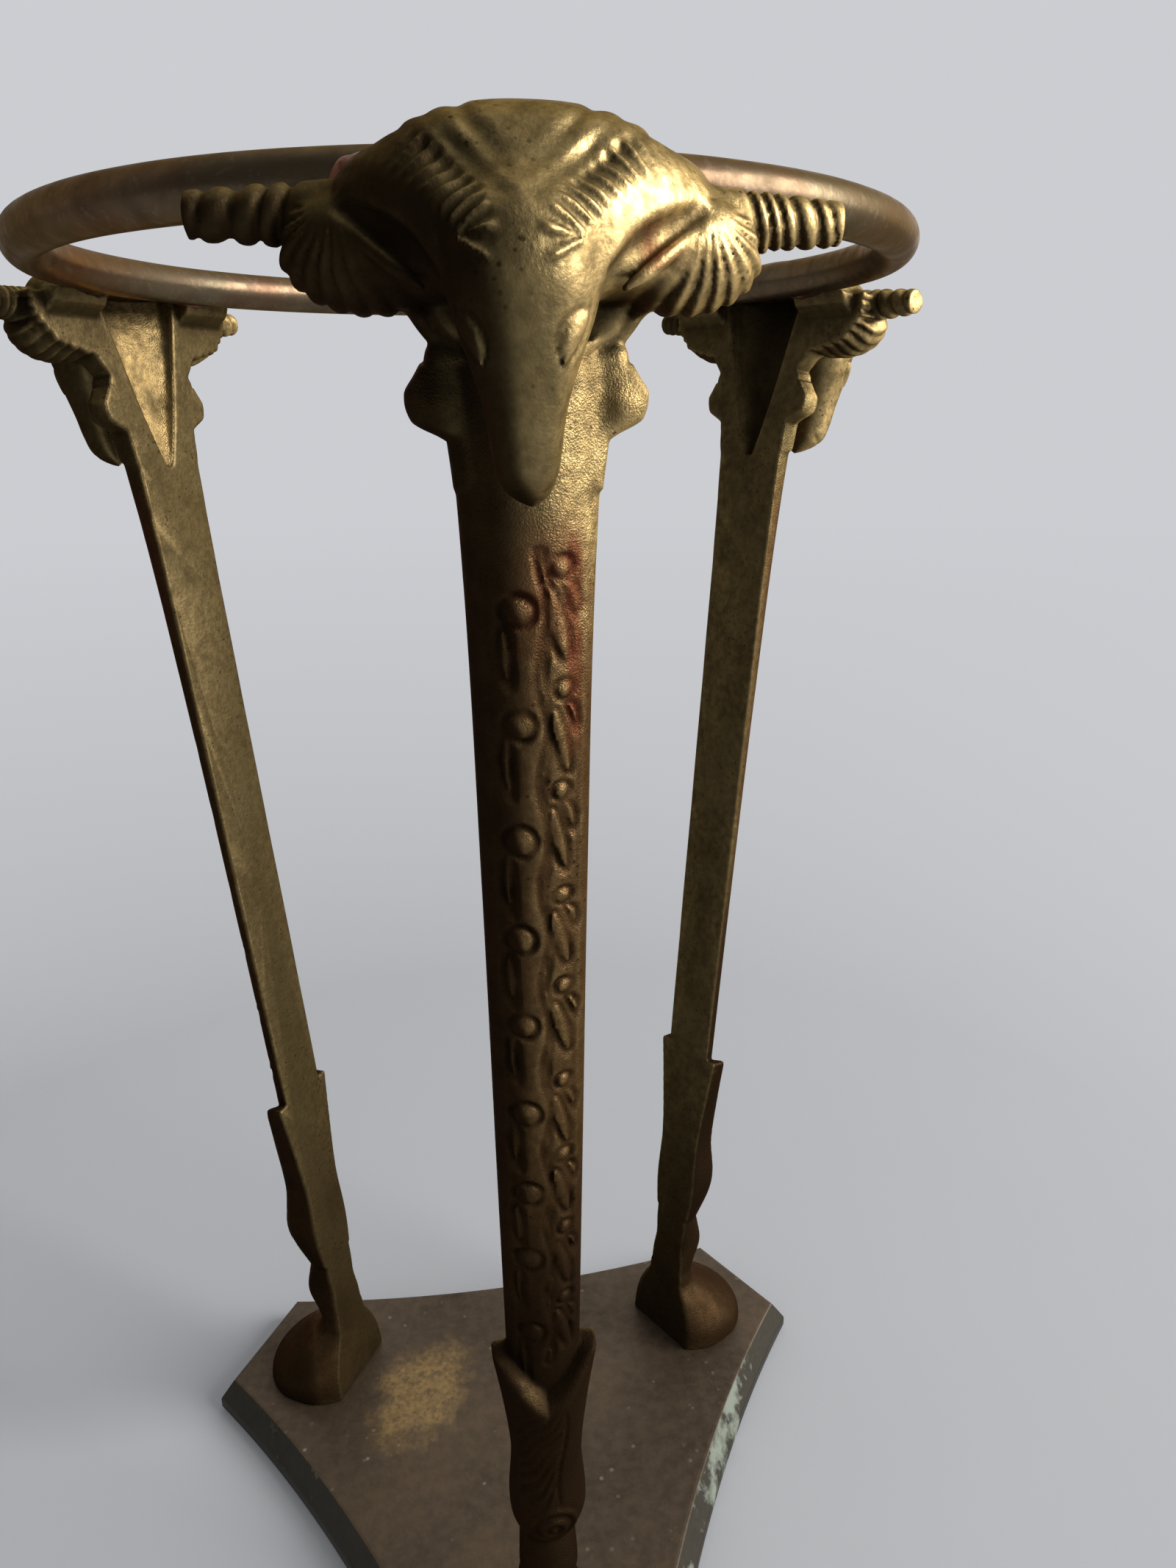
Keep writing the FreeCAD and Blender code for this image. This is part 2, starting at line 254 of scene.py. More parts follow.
class StandColours(bpy.types.PropertyGroup):
    """Colours of the aged metal."""
    # Brass also colours the painted highlight on the castings' side towards the lamp.
    brass: FloatVectorProperty(
        name="Brass", description="Rubbed brass on ridges and edges", subtype="COLOR", size=4,
        default=(0.66, 0.46, 0.195, 1.0), min=0.0, max=1.0)
    olive: FloatVectorProperty(
        name="Olive", description="Tarnished brass of the castings", subtype="COLOR", size=4,
        default=(0.175, 0.13, 0.056, 1.0), min=0.0, max=1.0)
    bronze: FloatVectorProperty(
        name="Bronze", description="Brown patina on the fronts of the shanks", subtype="COLOR", size=4,
        default=(0.12, 0.066, 0.028, 1.0), min=0.0, max=1.0)
    # Umber also colours the painted shade on the castings' left and on faces turned from the lamp, besides the
    # real dark patina in recesses.
    umber: FloatVectorProperty(
        name="Umber", description="Dark patina in recesses", subtype="COLOR", size=4,
        default=(0.02, 0.0115, 0.0055, 1.0), min=0.0, max=1.0)
    brown: FloatVectorProperty(
        name="Brown", description="Brown tarnish of the base and ring", subtype="COLOR", size=4,
        default=(0.085, 0.058, 0.035, 1.0), min=0.0, max=1.0)
    copper: FloatVectorProperty(
        name="Copper", description="Coppery filler metal and stains", subtype="COLOR", size=4,
        default=(0.29, 0.11, 0.06, 1.0), min=0.0, max=1.0)
    verdigris: FloatVectorProperty(
        name="Verdigris", description="Pale green bloom on the base's edge", subtype="COLOR", size=4,
        default=(0.29, 0.32, 0.26, 1.0), min=0.0, max=1.0)


class StandVine(bpy.types.PropertyGroup):
    """Sizes of the vine on the shank."""
    repeats: IntProperty(name="Repeats", description="Berries down one side", default=9, min=1)
    top: FloatProperty(
        name="Top", description="Height of the first berry on the leg", default=172.0 * MM, unit="LENGTH")
    pitch: FloatProperty(
        name="Pitch", description="Berry to berry down the leg", default=12.4 * MM, unit="LENGTH")
    berry: FloatProperty(
        name="Berry", description="Radius of a large berry", default=1.5 * MM, unit="LENGTH")
    bud: FloatProperty(
        name="Bud", description="Radius of a small bud", default=0.95 * MM, unit="LENGTH")
    leaf: FloatProperty(
        name="Leaf", description="Length of a leaf", default=10.2 * MM, unit="LENGTH")


class StandStage(bpy.types.PropertyGroup):
    """Floor, light and camera."""
    floor: FloatVectorProperty(
        name="Floor", description="Colour of the floor", subtype="COLOR", size=4,
        default=(0.37, 0.375, 0.385, 1.0), min=0.0, max=1.0)
    backdrop: FloatVectorProperty(
        name="Backdrop", description="Colour of the background", subtype="COLOR", size=4,
        default=(0.60, 0.61, 0.64, 1.0), min=0.0, max=1.0)
    key: FloatProperty(name="Key", description="Power of the main lamp", default=54.0, min=0.0, unit="POWER")
    fill: FloatProperty(name="Fill", description="Power of the side lamp", default=0.1, min=0.0, unit="POWER")
    room: FloatProperty(name="Room", description="Brightness of the room", default=0.6, min=0.0)
    lens: FloatProperty(name="Lens", description="Focal length in millimetres", default=33.3)
    camera: FloatVectorProperty(
        name="Camera", description="Place of the camera", subtype="XYZ", unit="LENGTH",
        default=(-11.86 * MM, -162.28 * MM, 195.72 * MM))
    aim: FloatVectorProperty(
        name="Aim", description="Camera's turn to the right, pitch down and roll, in degrees",
        default=(9.25, 18.97, -0.74))


def smooth_min(first, second, blend):
    """The lesser of two distances, with the crease between them rounded over blend."""
    overlap = np.maximum(blend - np.abs(first - second), 0.0)
    return np.minimum(first, second) - overlap * overlap / (4.0 * blend)


def smooth_max(first, second, blend):
    """The greater of two distances, with the crease rounded."""
    return -smooth_min(-first, -second, blend)


def ease(value, low, high):
    """0 below low, 1 above high, and a smooth rise between."""
    t = np.clip((value - low) / (high - low), 0.0, 1.0)
    return t * t * (3.0 - 2.0 * t)


def between(value, span, fall=1.0):
    """Rises and falls again over a span of four places: start, full, fade and end."""
    start, full, fade, end = span
    return ease(value, start, full) * (1.0 - fall * ease(value, fade, end))


def follow(rows, height):
    """Sizes at a height, on smooth curves through rows of (height, size, size, ...)."""
    rows = np.array(rows, dtype=np.float32)
    stations, sizes = rows[:, 0], rows[:, 1:]
    slopes = np.gradient(sizes, stations, axis=0)
    low = np.clip(np.searchsorted(stations, height) - 1, 0, len(stations) - 2)
    span = stations[low + 1] - stations[low]
    t = np.clip((height - stations[low]) / span, 0.0, 1.0)
    found = []
    for size, slope in zip(sizes.T, slopes.T):
        start, rise = size[low], size[low + 1] - size[low]
        leave, arrive = slope[low] * span, slope[low + 1] * span
        bend = 3 * rise - 2 * leave - arrive
        found.append(start + t * (leave + t * (bend + t * (leave + arrive - 2 * rise))))
    return found


def smooth_path(rows, steps):
    """Rows of numbers along a smooth curve through the given rows."""
    numbered = [(index, *row) for index, row in enumerate(rows)]
    return np.stack(follow(numbered, np.linspace(0, len(rows) - 1, steps)), axis=1)


def bar(rows, edge, cap=None):
    """A bar with a flat back, straight sides and a round front, in rows from its foot upwards."""
    cap = cap or edge
    rows_of = np.array(rows)
    half_most, depth_most = rows_of[:, 1].max() + 2, rows_of[:, 2].max() + 2
    low, high = rows_of[0, 0], rows_of[-1, 0]

    def shape(x, d, s):
        half, depth, side = follow(rows, s)
        rise = depth - side
        radius = (half ** 2 + rise ** 2) / (2 * rise)
        front = np.hypot(x, d - (depth - radius)) - radius
        body = smooth_max(front, np.abs(x) - half, edge)
        return smooth_max(body, np.maximum(low - s, s - high), cap)
    return ((-half_most, -FAR, low - 2), (half_most, depth_most, high + 2)), shape


def rod(rows, steps=16):
    """A round rod of changing thickness along a smooth path."""
    line = smooth_path(rows, steps)
    reach = line[:, 3].max() + 1.5

    def shape(x, d, s):
        nearest = None
        for start, end in zip(line[:-1], line[1:]):
            along = end[:3] - start[:3]
            gap = [x - start[0], d - start[1], s - start[2]]
            t = np.clip(sum(g * a for g, a in zip(gap, along)) / along.dot(along), 0.0, 1.0)
            radius = start[3] + t * (end[3] - start[3])
            here = np.sqrt(sum((g - t * a) ** 2 for g, a in zip(gap, along))) - radius
            nearest = here if nearest is None else np.minimum(nearest, here)
        return nearest
    return (line[:, :3].min(0) - reach, line[:, :3].max(0) + reach), shape


def trace(rows, x, d, s, steps=24):
    """How far each place is from a smooth line, and how far along the line it is nearest."""
    line = smooth_path(rows, steps)
    near, along, run = np.float32(1e6), np.float32(0.0), 0.0
    for start, end in zip(line[:-1, :3], line[1:, :3]):
        step = end - start
        length = np.linalg.norm(step)
        gap = [x - start[0], d - start[1], s - start[2]]
        t = np.clip(sum(g * a for g, a in zip(gap, step)) / length ** 2, 0.0, 1.0)
        here = np.sqrt(sum((g - t * a) ** 2 for g, a in zip(gap, step)))
        along = np.where(here < near, run + t * length, along)
        near = np.minimum(near, here)
        run += length
    return near, along


def egg(centre, size):
    """An ellipsoid."""
    centre, size = np.array(centre), np.array(size)

    def shape(x, d, s):
        parts = [(value - middle) / half for value, middle, half in zip((x, d, s), centre, size)]
        length = np.sqrt(sum(part ** 2 for part in parts))
        slope = np.sqrt(sum((part / half) ** 2 for part, half in zip(parts, size)))
        return length * (length - 1.0) / np.maximum(slope, 1e-6)
    return (centre - size - 1.5, centre + size + 1.5), shape


def both_sides(part):
    """A right-hand part and its mirror twin."""
    (low, high), shape = part
    box = ((-high[0], low[1], low[2]), (high[0], high[1], high[2]))
    return box, lambda x, d, s: shape(np.abs(x), d, s)


def outline_distance(points, u, v):
    """Distance to a closed outline of straight runs, less than zero inside it."""
    nearest, inside = None, False
    for (start_u, start_v), (end_u, end_v) in zip(points, points[1:] + points[:1]):
        run_u, run_v = end_u - start_u, end_v - start_v
        t = np.clip(((u - start_u) * run_u + (v - start_v) * run_v) / (run_u ** 2 + run_v ** 2), 0.0, 1.0)
        square = (u - start_u - t * run_u) ** 2 + (v - start_v - t * run_v) ** 2
        nearest = square if nearest is None else np.minimum(nearest, square)
        if run_v:
            inside ^= ((start_v > v) != (end_v > v)) & (u < start_u + (v - start_v) * run_u / run_v)
    return np.where(inside, -1.0, 1.0) * np.sqrt(nearest)


def boot_rim(x, d, s):
    """Distance above the boot's top, which falls to a V in front and slopes outwards."""
    slope = (BOOT_TIP_HEIGHT - BOOT_DIP_HEIGHT) / BOOT[-1][1]
    above = s - BOOT_DIP_HEIGHT - slope * np.abs(x) + BOOT_LEAN * (d - 5.0)
    return above / math.sqrt(1.0 + slope ** 2 + BOOT_LEAN ** 2)


def boot_part():
    """The goat's lower leg, its top edge cut to a V around the shank."""
    box, body = bar(BOOT, 0.5)

    def shape(x, d, s):
        return smooth_max(body(x, d, s), boot_rim(x, d, s), 1.3)
    return box, shape


def crown_part():
    """The broad dome of the skull."""
    def shape(x, d, s):
        above = s - CROWN_CENTRE[2]
        parts = [np.abs(x) / CROWN_SIZE[0], np.abs(d - CROWN_CENTRE[1]) / CROWN_SIZE[1],
                 np.maximum(above / CROWN_SIZE[2], -above / CROWN_UNDER)]
        length = sum(part ** CROWN_POWER for part in parts) ** (1.0 / CROWN_POWER)
        return (length - 1.0) * min(CROWN_SIZE)
    return CROWN_BLOCK, shape


def plate_part():
    """The flat plate that carries the head, with a lobe and a wing on each side."""
    outline = [(-30.0, PLATE_OUTLINE[0][1])] + PLATE_OUTLINE + [(-30.0, PLATE_OUTLINE[-1][1])]

    def shape(x, d, s):
        edge = outline_distance(outline, np.abs(x), s)
        return smooth_max(edge, d - PLATE_THICKNESS, 2.0)
    return PLATE_BLOCK, shape


def lip_part():
    """The right-hand lip under the ring, standing in from the flat back."""
    def shape(x, d, s):
        profile = outline_distance(LIP_OUTLINE, d, s)
        return smooth_max(profile, np.maximum(LIP_SPAN[0] - x, x - LIP_SPAN[1]), 0.5)
    return LIP_BLOCK, shape


def partings(x, d, s):
    """Valleys between the locks that run up over the crown from the middle of the forehead."""
    depth = np.float32(0.0)
    for line in PARTINGS:
        near, _ = trace(line, np.abs(x), d, s, 12)
        depth = np.maximum(depth, PARTING_DEPTH * (1.0 - ease(near, -0.9, 1.5)))
    return depth


def eyes(x, d, s):
    """Raised almonds with a groove round each."""
    near, run = trace(EYE, np.abs(x), d, s, 12)
    length = sum(math.dist(a, b) for a, b in zip(EYE, EYE[1:]))
    width = EYE_WIDTH * np.sqrt(np.clip(np.sin(math.pi * np.clip(run / length, 0.02, 0.98)), 0.05, 1.0))
    out = near / width
    return 0.22 * ease(out, 0.75, 1.0) * (1.0 - ease(out, 1.1, 1.8)) - 0.3 * (1.0 - ease(out, 0.2, 0.95))


def horn_ridges(x, d, s):
    """Short fine ridges across the crest of each horn."""
    near, run = trace(HORN_CREST, np.abs(x), d, s)
    ridges = (0.5 + 0.5 * np.cos(2 * math.pi * run / RIDGE_PITCH)) ** 2
    where = (1.0 - ease(near, 1.3, 2.0)) * ease(run, 0.4, 1.2)
    where = where * (1.0 - 0.4 * ease(run, 5.0, 9.0) - 0.6 * ease(run, 12.0, 15.0))
    return (0.1 - 0.42 * ridges) * where


def tip_scales(x, d, s):
    """Scales along the tips that stand out at the sides, narrower on the right."""
    near, run = trace(TIP, np.abs(x) + 0.3 * (s - 205.0), d, s)
    pitch = np.where(x < 0.0, SCALE_PITCH["left"], SCALE_PITCH["right"])
    turns = 2.0 * math.pi * (run + 0.3 * np.sin(run)) / pitch
    scales = 0.5 + 0.5 * np.cos(turns + 0.6 * np.sin(turns))
    raised = SCALE_HEIGHT * scales * (1.0 - ease(near, 3.0, 4.0))
    return raised * ease(run, 2.6, 4.4) * (1.0 - ease(run, 11.0, 13.0))


def hair_flutes(x, d, s):
    """Locks of hair that fan out below the ear."""
    across, down = np.abs(x) - HAIR_FAN[0], HAIR_FAN[1] - s
    out = np.hypot(across, down)
    angle = np.arctan2(across, down)
    flutes = np.abs(np.sin(angle * FLUTES + 0.5 * np.sin(0.9 * out)))
    where = ease(out, 1.6, 3.6) * ease(angle, -1.05, -0.7) * (1.0 - ease(angle, 1.35, 1.6))
    return (0.3 - 0.4 * flutes) * where * (1.0 - ease(d, 10.0, 11.0))


class Clay:
    """Distances to a casting's surface on a block of cells, in the upright leg's millimetres."""

    def __init__(self, box, cell):
        low, high = box
        spans = [(low[0], high[0]), (-high[1], -low[1]), (low[2], high[2])]
        self.cell = cell
        self.first = [math.floor(start / cell) for start, _ in spans]
        counts = [math.ceil(end / cell) - first for (_, end), first in zip(spans, self.first)]
        self.axes = [(np.arange(count) + first) * np.float32(cell) for count, first in zip(counts, self.first)]
        self.field = np.full(counts, FAR, dtype=np.float32)

    def window(self, box):
        """The cells of a box, with their x, depth and height."""
        low, high = box
        spans = [(low[0], high[0]), (-high[1], -low[1]), (low[2], high[2])]
        cut = tuple(slice(*np.searchsorted(axis, span)) for axis, span in zip(self.axes, spans))
        x, y, s = (axis[part] for axis, part in zip(self.axes, cut))
        return cut, (x[:, None, None], -y[None, :, None], s[None, None, :])

    def add(self, part, blend=0.5):
        """Joins a part on, with the crease rounded over blend."""
        box, shape = part
        cut, place = self.window(box)
        self.field[cut] = smooth_min(self.field[cut], shape(*place), blend)

    def carve(self, part, blend=0.3):
        """Cuts a part away, with the edge rounded over blend."""
        box, shape = part
        cut, place = self.window(box)
        self.field[cut] = smooth_max(self.field[cut], -shape(*place), blend)

    def press(self, box, depth):
        """Sinks the surface inside a box by a depth that varies from place to place."""
        cut, place = self.window(box)
        self.field[cut] += depth(*place)

    def chase(self, mesh):
        """Draws a mesh's outline into the surface: a groove round it and a low swell within."""
        points, triangles = mesh_arrays(mesh)
        scale = openvdb.createLinearTransform(voxelSize=self.cell)
        solid = openvdb.FloatGrid.createLevelSetFromPolygons(
            points, triangles=triangles, transform=scale, halfWidth=5.0)
        away = np.empty(self.field.shape, dtype=np.float32)
        solid.copyToArray(away, ijk=tuple(self.first))
        x, s = self.axes[0][:, None, None], self.axes[2][None, None, :]
        uneven = 0.62 + 0.38 * np.sin(1.3 * x + 0.9 * np.sin(0.47 * s)) * np.sin(0.83 * s + 0.6 * x)
        groove = ease(away, -0.3, 0.15) * (1.0 - ease(away, 0.15, 0.85))
        self.field += GROOVE_DEPTH * uneven * groove - SWELL * ease(-away, 0.0, 1.25)

    def surface(self):
        """Points and four-cornered faces of the surface."""
        grid = openvdb.FloatGrid(FAR)
        grid.gridClass = openvdb.GridClass.LEVEL_SET
        grid.copyFromArray(np.clip(self.field, -FAR, FAR), ijk=tuple(self.first))
        grid.transform = openvdb.createLinearTransform(voxelSize=self.cell)
        return grid.convertToQuads(isovalue=0.0)


def mesh_arrays(mesh):
    """A mesh's points and triangles as arrays."""
    points = np.empty(len(mesh.vertices) * 3, dtype=np.float32)
    mesh.vertices.foreach_get("co", points)
    mesh.calc_loop_triangles()
    triangles = np.empty(len(mesh.loop_triangles) * 3, dtype=np.uint32)
    mesh.loop_triangles.foreach_get("vertices", triangles)
    return points.reshape(-1, 3), triangles.reshape(-1, 3)


def node(tree, kind, inputs=None, **settings):
    """Adds a node, sets it up, and links or fills its inputs."""
    made = tree.nodes.new(kind)
    for key, value in settings.items():
        setattr(made, key, value)
    for key, value in (inputs or {}).items():
        if isinstance(value, bpy.types.NodeSocket):
            tree.links.new(value, made.inputs[key])
        else:
            made.inputs[key].default_value = value
    return made


def maths(tree, operation, first, second=0.0, clamp=False):
    """What an arithmetic node puts out."""
    return node(tree, "ShaderNodeMath", {0: first, 1: second}, operation=operation, use_clamp=clamp).outputs[0]


def new_tree(name, kind, inputs, outputs):
    """A node group with its input and output nodes. A socket is given by its kind or by its default number."""
    tree = bpy.data.node_groups.new(name, kind)
    for direction, sockets in (("INPUT", inputs), ("OUTPUT", outputs)):
        for label, given in sockets.items():
            socket = given if isinstance(given, str) else type(given).__name__.capitalize()
            made = tree.interface.new_socket(name=label, in_out=direction, socket_type="NodeSocket" + socket)
            if not isinstance(given, str):
                made.default_value = given
    return tree, tree.nodes.new("NodeGroupInput"), tree.nodes.new("NodeGroupOutput")


def add_object(name, data):
    """A new object in the scene."""
    made = bpy.data.objects.new(name, data)
    bpy.context.scene.collection.objects.link(made)
    return made


def as_made(holder, name):
    """The plain mesh that an object's modifiers make, in place of the object."""
    evaluated = holder.evaluated_get(bpy.context.evaluated_depsgraph_get())
    mesh = bpy.data.meshes.new_from_object(evaluated)
    mesh.name = name
    holder.modifiers.clear()
    bpy.data.objects.remove(holder)
    return mesh


def made_by(tree, source, values, name):
    """The plain mesh that a geometry tree makes from an object's data, with inputs set by name."""
    maker = add_object(name + "_maker", source)
    modifier = maker.modifiers.new(tree.name, "NODES")
    modifier.node_group = tree
    for item in tree.interface.items_tree:
        if item.in_out == "INPUT" and item.name in values:
            modifier[item.identifier] = values[item.name]
    return as_made(maker, name)


def vine_tree():
    """Geometry nodes: a thin stem, berries and pods on its left, buds and leaves on its right."""
    sizes = ("Top", "Pitch", "Berry Radius", "Bud Radius", "Leaf Length", "Stem Half", "Stem Swing",
             "Stem Side", "Berry Side", "Bud Side")
    tree, given, result = new_tree(
        "Vine relief", "GeometryNodeTree",
        {"Geometry": "Geometry", "Repeats": 9, **dict.fromkeys(sizes, 1.0), "Material": "Material"},
        {"Geometry": "Geometry"})
    tree.is_modifier = True
    line, take = given.outputs["Geometry"], given.outputs

    def across(side, depth, height):
        return node(tree, "ShaderNodeCombineXYZ", {"X": side, "Y": depth, "Z": height}).outputs[0]

    def chance(low, high, seed):
        return node(tree, "FunctionNodeRandomValue", {"Min": low, "Max": high, "Seed": seed},
                    data_type="FLOAT_VECTOR").outputs["Value"]

    def stations(side, height, seed):
        spots = node(tree, "GeometryNodeResampleCurve", {"Curve": line, "Count": take["Repeats"]})
        stray = chance((-0.2, 0.0, -0.7), (0.2, 0.0, 0.7), seed)
        offset = node(tree, "ShaderNodeVectorMath", {0: across(side, 0.0, height), 1: stray})
        return node(tree, "GeometryNodeSetPosition", {
            "Geometry": spots.outputs[0], "Offset": offset.outputs[0]}).outputs[0]

    def planted(spots, shape, seed):
        size = chance((0.9, 3.0, 0.9), (1.1, 3.0, 1.1), seed)
        return node(tree, "GeometryNodeInstanceOnPoints", {
            "Points": spots, "Instance": shape, "Scale": size}).outputs[0]

    def ball(radius):
        return node(tree, "GeometryNodeMeshIcoSphere", {"Radius": radius, "Subdivisions": 3}).outputs[0]

    def tube(path, radius):
        ring = node(tree, "GeometryNodeCurvePrimitiveCircle", {"Resolution": 12, "Radius": 1.0})
        return node(tree, "GeometryNodeCurveToMesh", {
            "Curve": path, "Profile Curve": ring.outputs[0], "Scale": radius, "Fill Caps": True}).outputs[0]

    def blade(start, middle, end, width):
        spine = node(tree, "GeometryNodeCurveQuadraticBezier", {
            "Resolution": 14, "Start": start, "Middle": middle, "End": end})
        along = node(tree, "GeometryNodeSplineParameter").outputs["Factor"]
        swell = maths(tree, "POWER", maths(tree, "SINE", maths(tree, "MULTIPLY", along, math.pi)), 0.6)
        return tube(spine.outputs[0], maths(tree, "ADD", maths(tree, "MULTIPLY", swell, width), 0.08))

    def longer(path, at_start, height):
        end = node(tree, "GeometryNodeCurveEndpointSelection", {
            "Start Size": int(at_start), "End Size": int(not at_start)})
        return node(tree, "GeometryNodeSetPosition", {
            "Geometry": path, "Selection": end.outputs[0], "Offset": across(0.0, 0.0, height)}).outputs[0]

    height = node(tree, "ShaderNodeSeparateXYZ", {
        0: node(tree, "GeometryNodeInputPosition").outputs[0]}).outputs["Z"]
    turns = maths(tree, "DIVIDE", maths(tree, "SUBTRACT", height, take["Top"]), take["Pitch"])
    wave = maths(tree, "COSINE", maths(tree, "MULTIPLY", turns, 2 * math.pi))
    swing = maths(tree, "MULTIPLY", wave, take["Stem Swing"])
    half_pitch = maths(tree, "MULTIPLY", take["Pitch"], 0.5)
    whole = longer(longer(line, True, half_pitch), False, maths(tree, "MULTIPLY", half_pitch, -1.0))
    fine = node(tree, "GeometryNodeResampleCurve", {
        "Curve": whole, "Count": maths(tree, "MULTIPLY", take["Repeats"], 14)})
    stem = node(tree, "GeometryNodeSetPosition", {
        "Geometry": fine.outputs[0], "Offset": across(maths(tree, "ADD", take["Stem Side"], swing), 0.0, 0.0)})

    fall = maths(tree, "MULTIPLY", take["Leaf Length"], -1.0)
    half_fall = maths(tree, "MULTIPLY", fall, 0.5)
    pod_end = across(-0.9, 0.0, maths(tree, "MULTIPLY", fall, 0.85))
    pod = blade((-1.3, 0.0, -0.6), across(-1.7, 0.0, half_fall), pod_end, POD_WIDTH)
    leaf_end = across(0.8, 0.0, fall)
    long_leaf = blade((-1.1, 0.0, -1.9), across(-0.5, 0.0, half_fall), leaf_end, LONG_LEAF_WIDTH)
    short_leaf = blade((0.2, 0.0, -1.3), (1.7, 0.0, -3.0), (1.5, 0.0, -5.6), SHORT_LEAF_WIDTH)
    berries = stations(maths(tree, "MULTIPLY", take["Berry Side"], -1.0), 0.0, 1)
    buds = stations(take["Bud Side"], maths(tree, "MULTIPLY", take["Pitch"], 0.4), 5)
    pieces = [
        tube(stem.outputs[0], take["Stem Half"]),
        planted(berries, ball(take["Berry Radius"]), 2),
        planted(berries, pod, 2),
        planted(buds, ball(take["Bud Radius"]), 6),
        planted(buds, long_leaf, 6),
        planted(buds, short_leaf, 6),
    ]
    joined = node(tree, "GeometryNodeJoinGeometry")
    for piece in pieces:
        tree.links.new(piece, joined.inputs[0])
    real = node(tree, "GeometryNodeRealizeInstances", {0: joined.outputs[0]})
    coated = node(tree, "GeometryNodeSetMaterial", {
        "Geometry": real.outputs[0], "Material": take["Material"]})
    tree.links.new(coated.outputs[0], result.inputs[0])
    return tree


def vine_mesh(vine, material):
    """The vine's relief on one shank, in the upright leg's millimetres."""
    top, pitch = vine.top / MM, vine.pitch / MM
    heights = top - pitch * np.linspace(0.0, vine.repeats - 1.0, 4 * vine.repeats - 3)
    depths = follow(SHANK, heights)[1] - GROUND_DROP
    line = bpy.data.curves.new("vine_line", "CURVE")
    line.dimensions = "3D"
    spline = line.splines.new("POLY")
    spline.points.add(len(heights) - 1)
    for point, height, depth in zip(spline.points, heights, depths):
        point.co = (0.0, -depth, height, 1.0)
    return made_by(vine_tree(), line, {
        "Repeats": vine.repeats, "Top": top, "Pitch": pitch, "Berry Radius": vine.berry / MM,
        "Bud Radius": vine.bud / MM, "Leaf Length": vine.leaf / MM, "Stem Half": STEM_HALF,
        "Stem Swing": STEM_SWING, "Stem Side": STEM_SIDE, "Berry Side": BERRY_SIDE, "Bud Side": BUD_SIDE,
        "Material": material}, "vine")


def leg_tilt(sizes):
    """How far a leg leans out, in radians."""
    return math.atan2(sizes.top_reach - sizes.foot_reach, sizes.ring_height - sizes.base_thickness)


def leg_place(sizes, turn):
    """Takes the upright leg's millimetres to its place on the stand."""
    stand = Matrix.Translation((0.0, -sizes.foot_reach, sizes.base_thickness))
    lean = Matrix.Rotation(leg_tilt(sizes), 4, "X")
    return Matrix.Rotation(math.radians(turn), 4, "Z") @ stand @ lean @ Matrix.Scale(MM, 4)


def on_stand(sizes, d, s):
    """The front leg's y and z on the stand, in millimetres, from its depth and height."""
    tilt = leg_tilt(sizes)
    y = -sizes.foot_reach / MM - d * math.cos(tilt) - s * math.sin(tilt)
    z = sizes.base_thickness / MM - d * math.sin(tilt) + s * math.cos(tilt)
    return y, z


def ring_part(sizes, spare):
    """The ring's rod, grown by a little spare room."""
    def shape(x, d, s):
        y, z = on_stand(sizes, d, s)
        rod_radius = sizes.rod_diameter / MM / 2 + spare
        return np.hypot(np.hypot(x, y) - sizes.ring_radius / MM, z - sizes.ring_height / MM) - rod_radius
    return RING_BLOCK, shape


def shape_head(clay):
    """Adds the ram's head to the top of the leg."""
    clay.add(both_sides(egg(HAIR_CENTRE, HAIR_SIZE)), 1.5)
    clay.press(HAIR_BLOCK, hair_flutes)
    clay.add(bar(FACE, 1.2, 4.5), 2.0)
    clay.add(crown_part(), 1.6)
    clay.add(both_sides(rod(HORN, 20)), 0.6)
    clay.press(PARTING_BLOCK, partings)
    clay.press(RIDGE_BLOCK, horn_ridges)
    clay.add(both_sides(rod(TIP)), 0.4)
    clay.carve((END_BLOCK, lambda x, d, s: TIP_END - np.abs(x)), 0.5)
    clay.press(SCALE_BLOCK, tip_scales)
    clay.add(both_sides(rod(ROLL)), 0.5)
    clay.carve(both_sides(rod(EAR_HOLLOW)), 1.0)
    clay.add(both_sides(rod(EAR_RIM)), 0.25)
    clay.press(EYE_BLOCK, eyes)
    clay.carve(both_sides(rod(MOUTH, 12)), 0.3)


def turn_head(points):
    """Leans the face of a finished casting a little to one side."""
    depth, height = -points[:, 1], points[:, 2]
    points[:, 0] += HEAD_TURN * np.maximum(depth - 5.0, 0.0) * ease(height, 177.0, 186.0)
    return points


def ground(x, d, s):
    """How far the shank's ground is sunk between its plain borders."""
    half = follow(SHANK, s)[0]
    inner = 1.0 - ease(np.abs(x), half - BORDER_WIDTH, half - BORDER_WIDTH + 0.5)
    low, high = GROUND_SPAN
    return GROUND_DROP * inner * between(s, (low, low + 1.5, high - 9.0, high)) * ease(d, 1.2, 2.2)


def boot_strands(x, d, s):
    """Slanting hair on the front of the boot, parted along a wavy line."""
    part = 1.7 + 0.7 * np.sin(s / 4.0)
    slant = s - 1.5 * x + 0.6 * np.sin(0.9 * x + 0.35 * s)
    groove = (0.5 - 0.5 * np.cos(2 * math.pi * slant / STRAND_PITCH)) * (1.0 - ease(x, part - 0.4, part))
    groove = np.maximum(groove, 1.0 - ease(np.abs(x - part), 0.1, 0.5))
    half = follow(BOOT, s)[0]
    where = (1.0 - ease(np.abs(x), half - 1.4, half - 0.8)) * ease(d, 3.0, 4.4)
    where = where * ease(s, 40.0, 42.5) * (1.0 - ease(s, 57.0, 60.0))
    return STRAND_DEPTH * where * groove


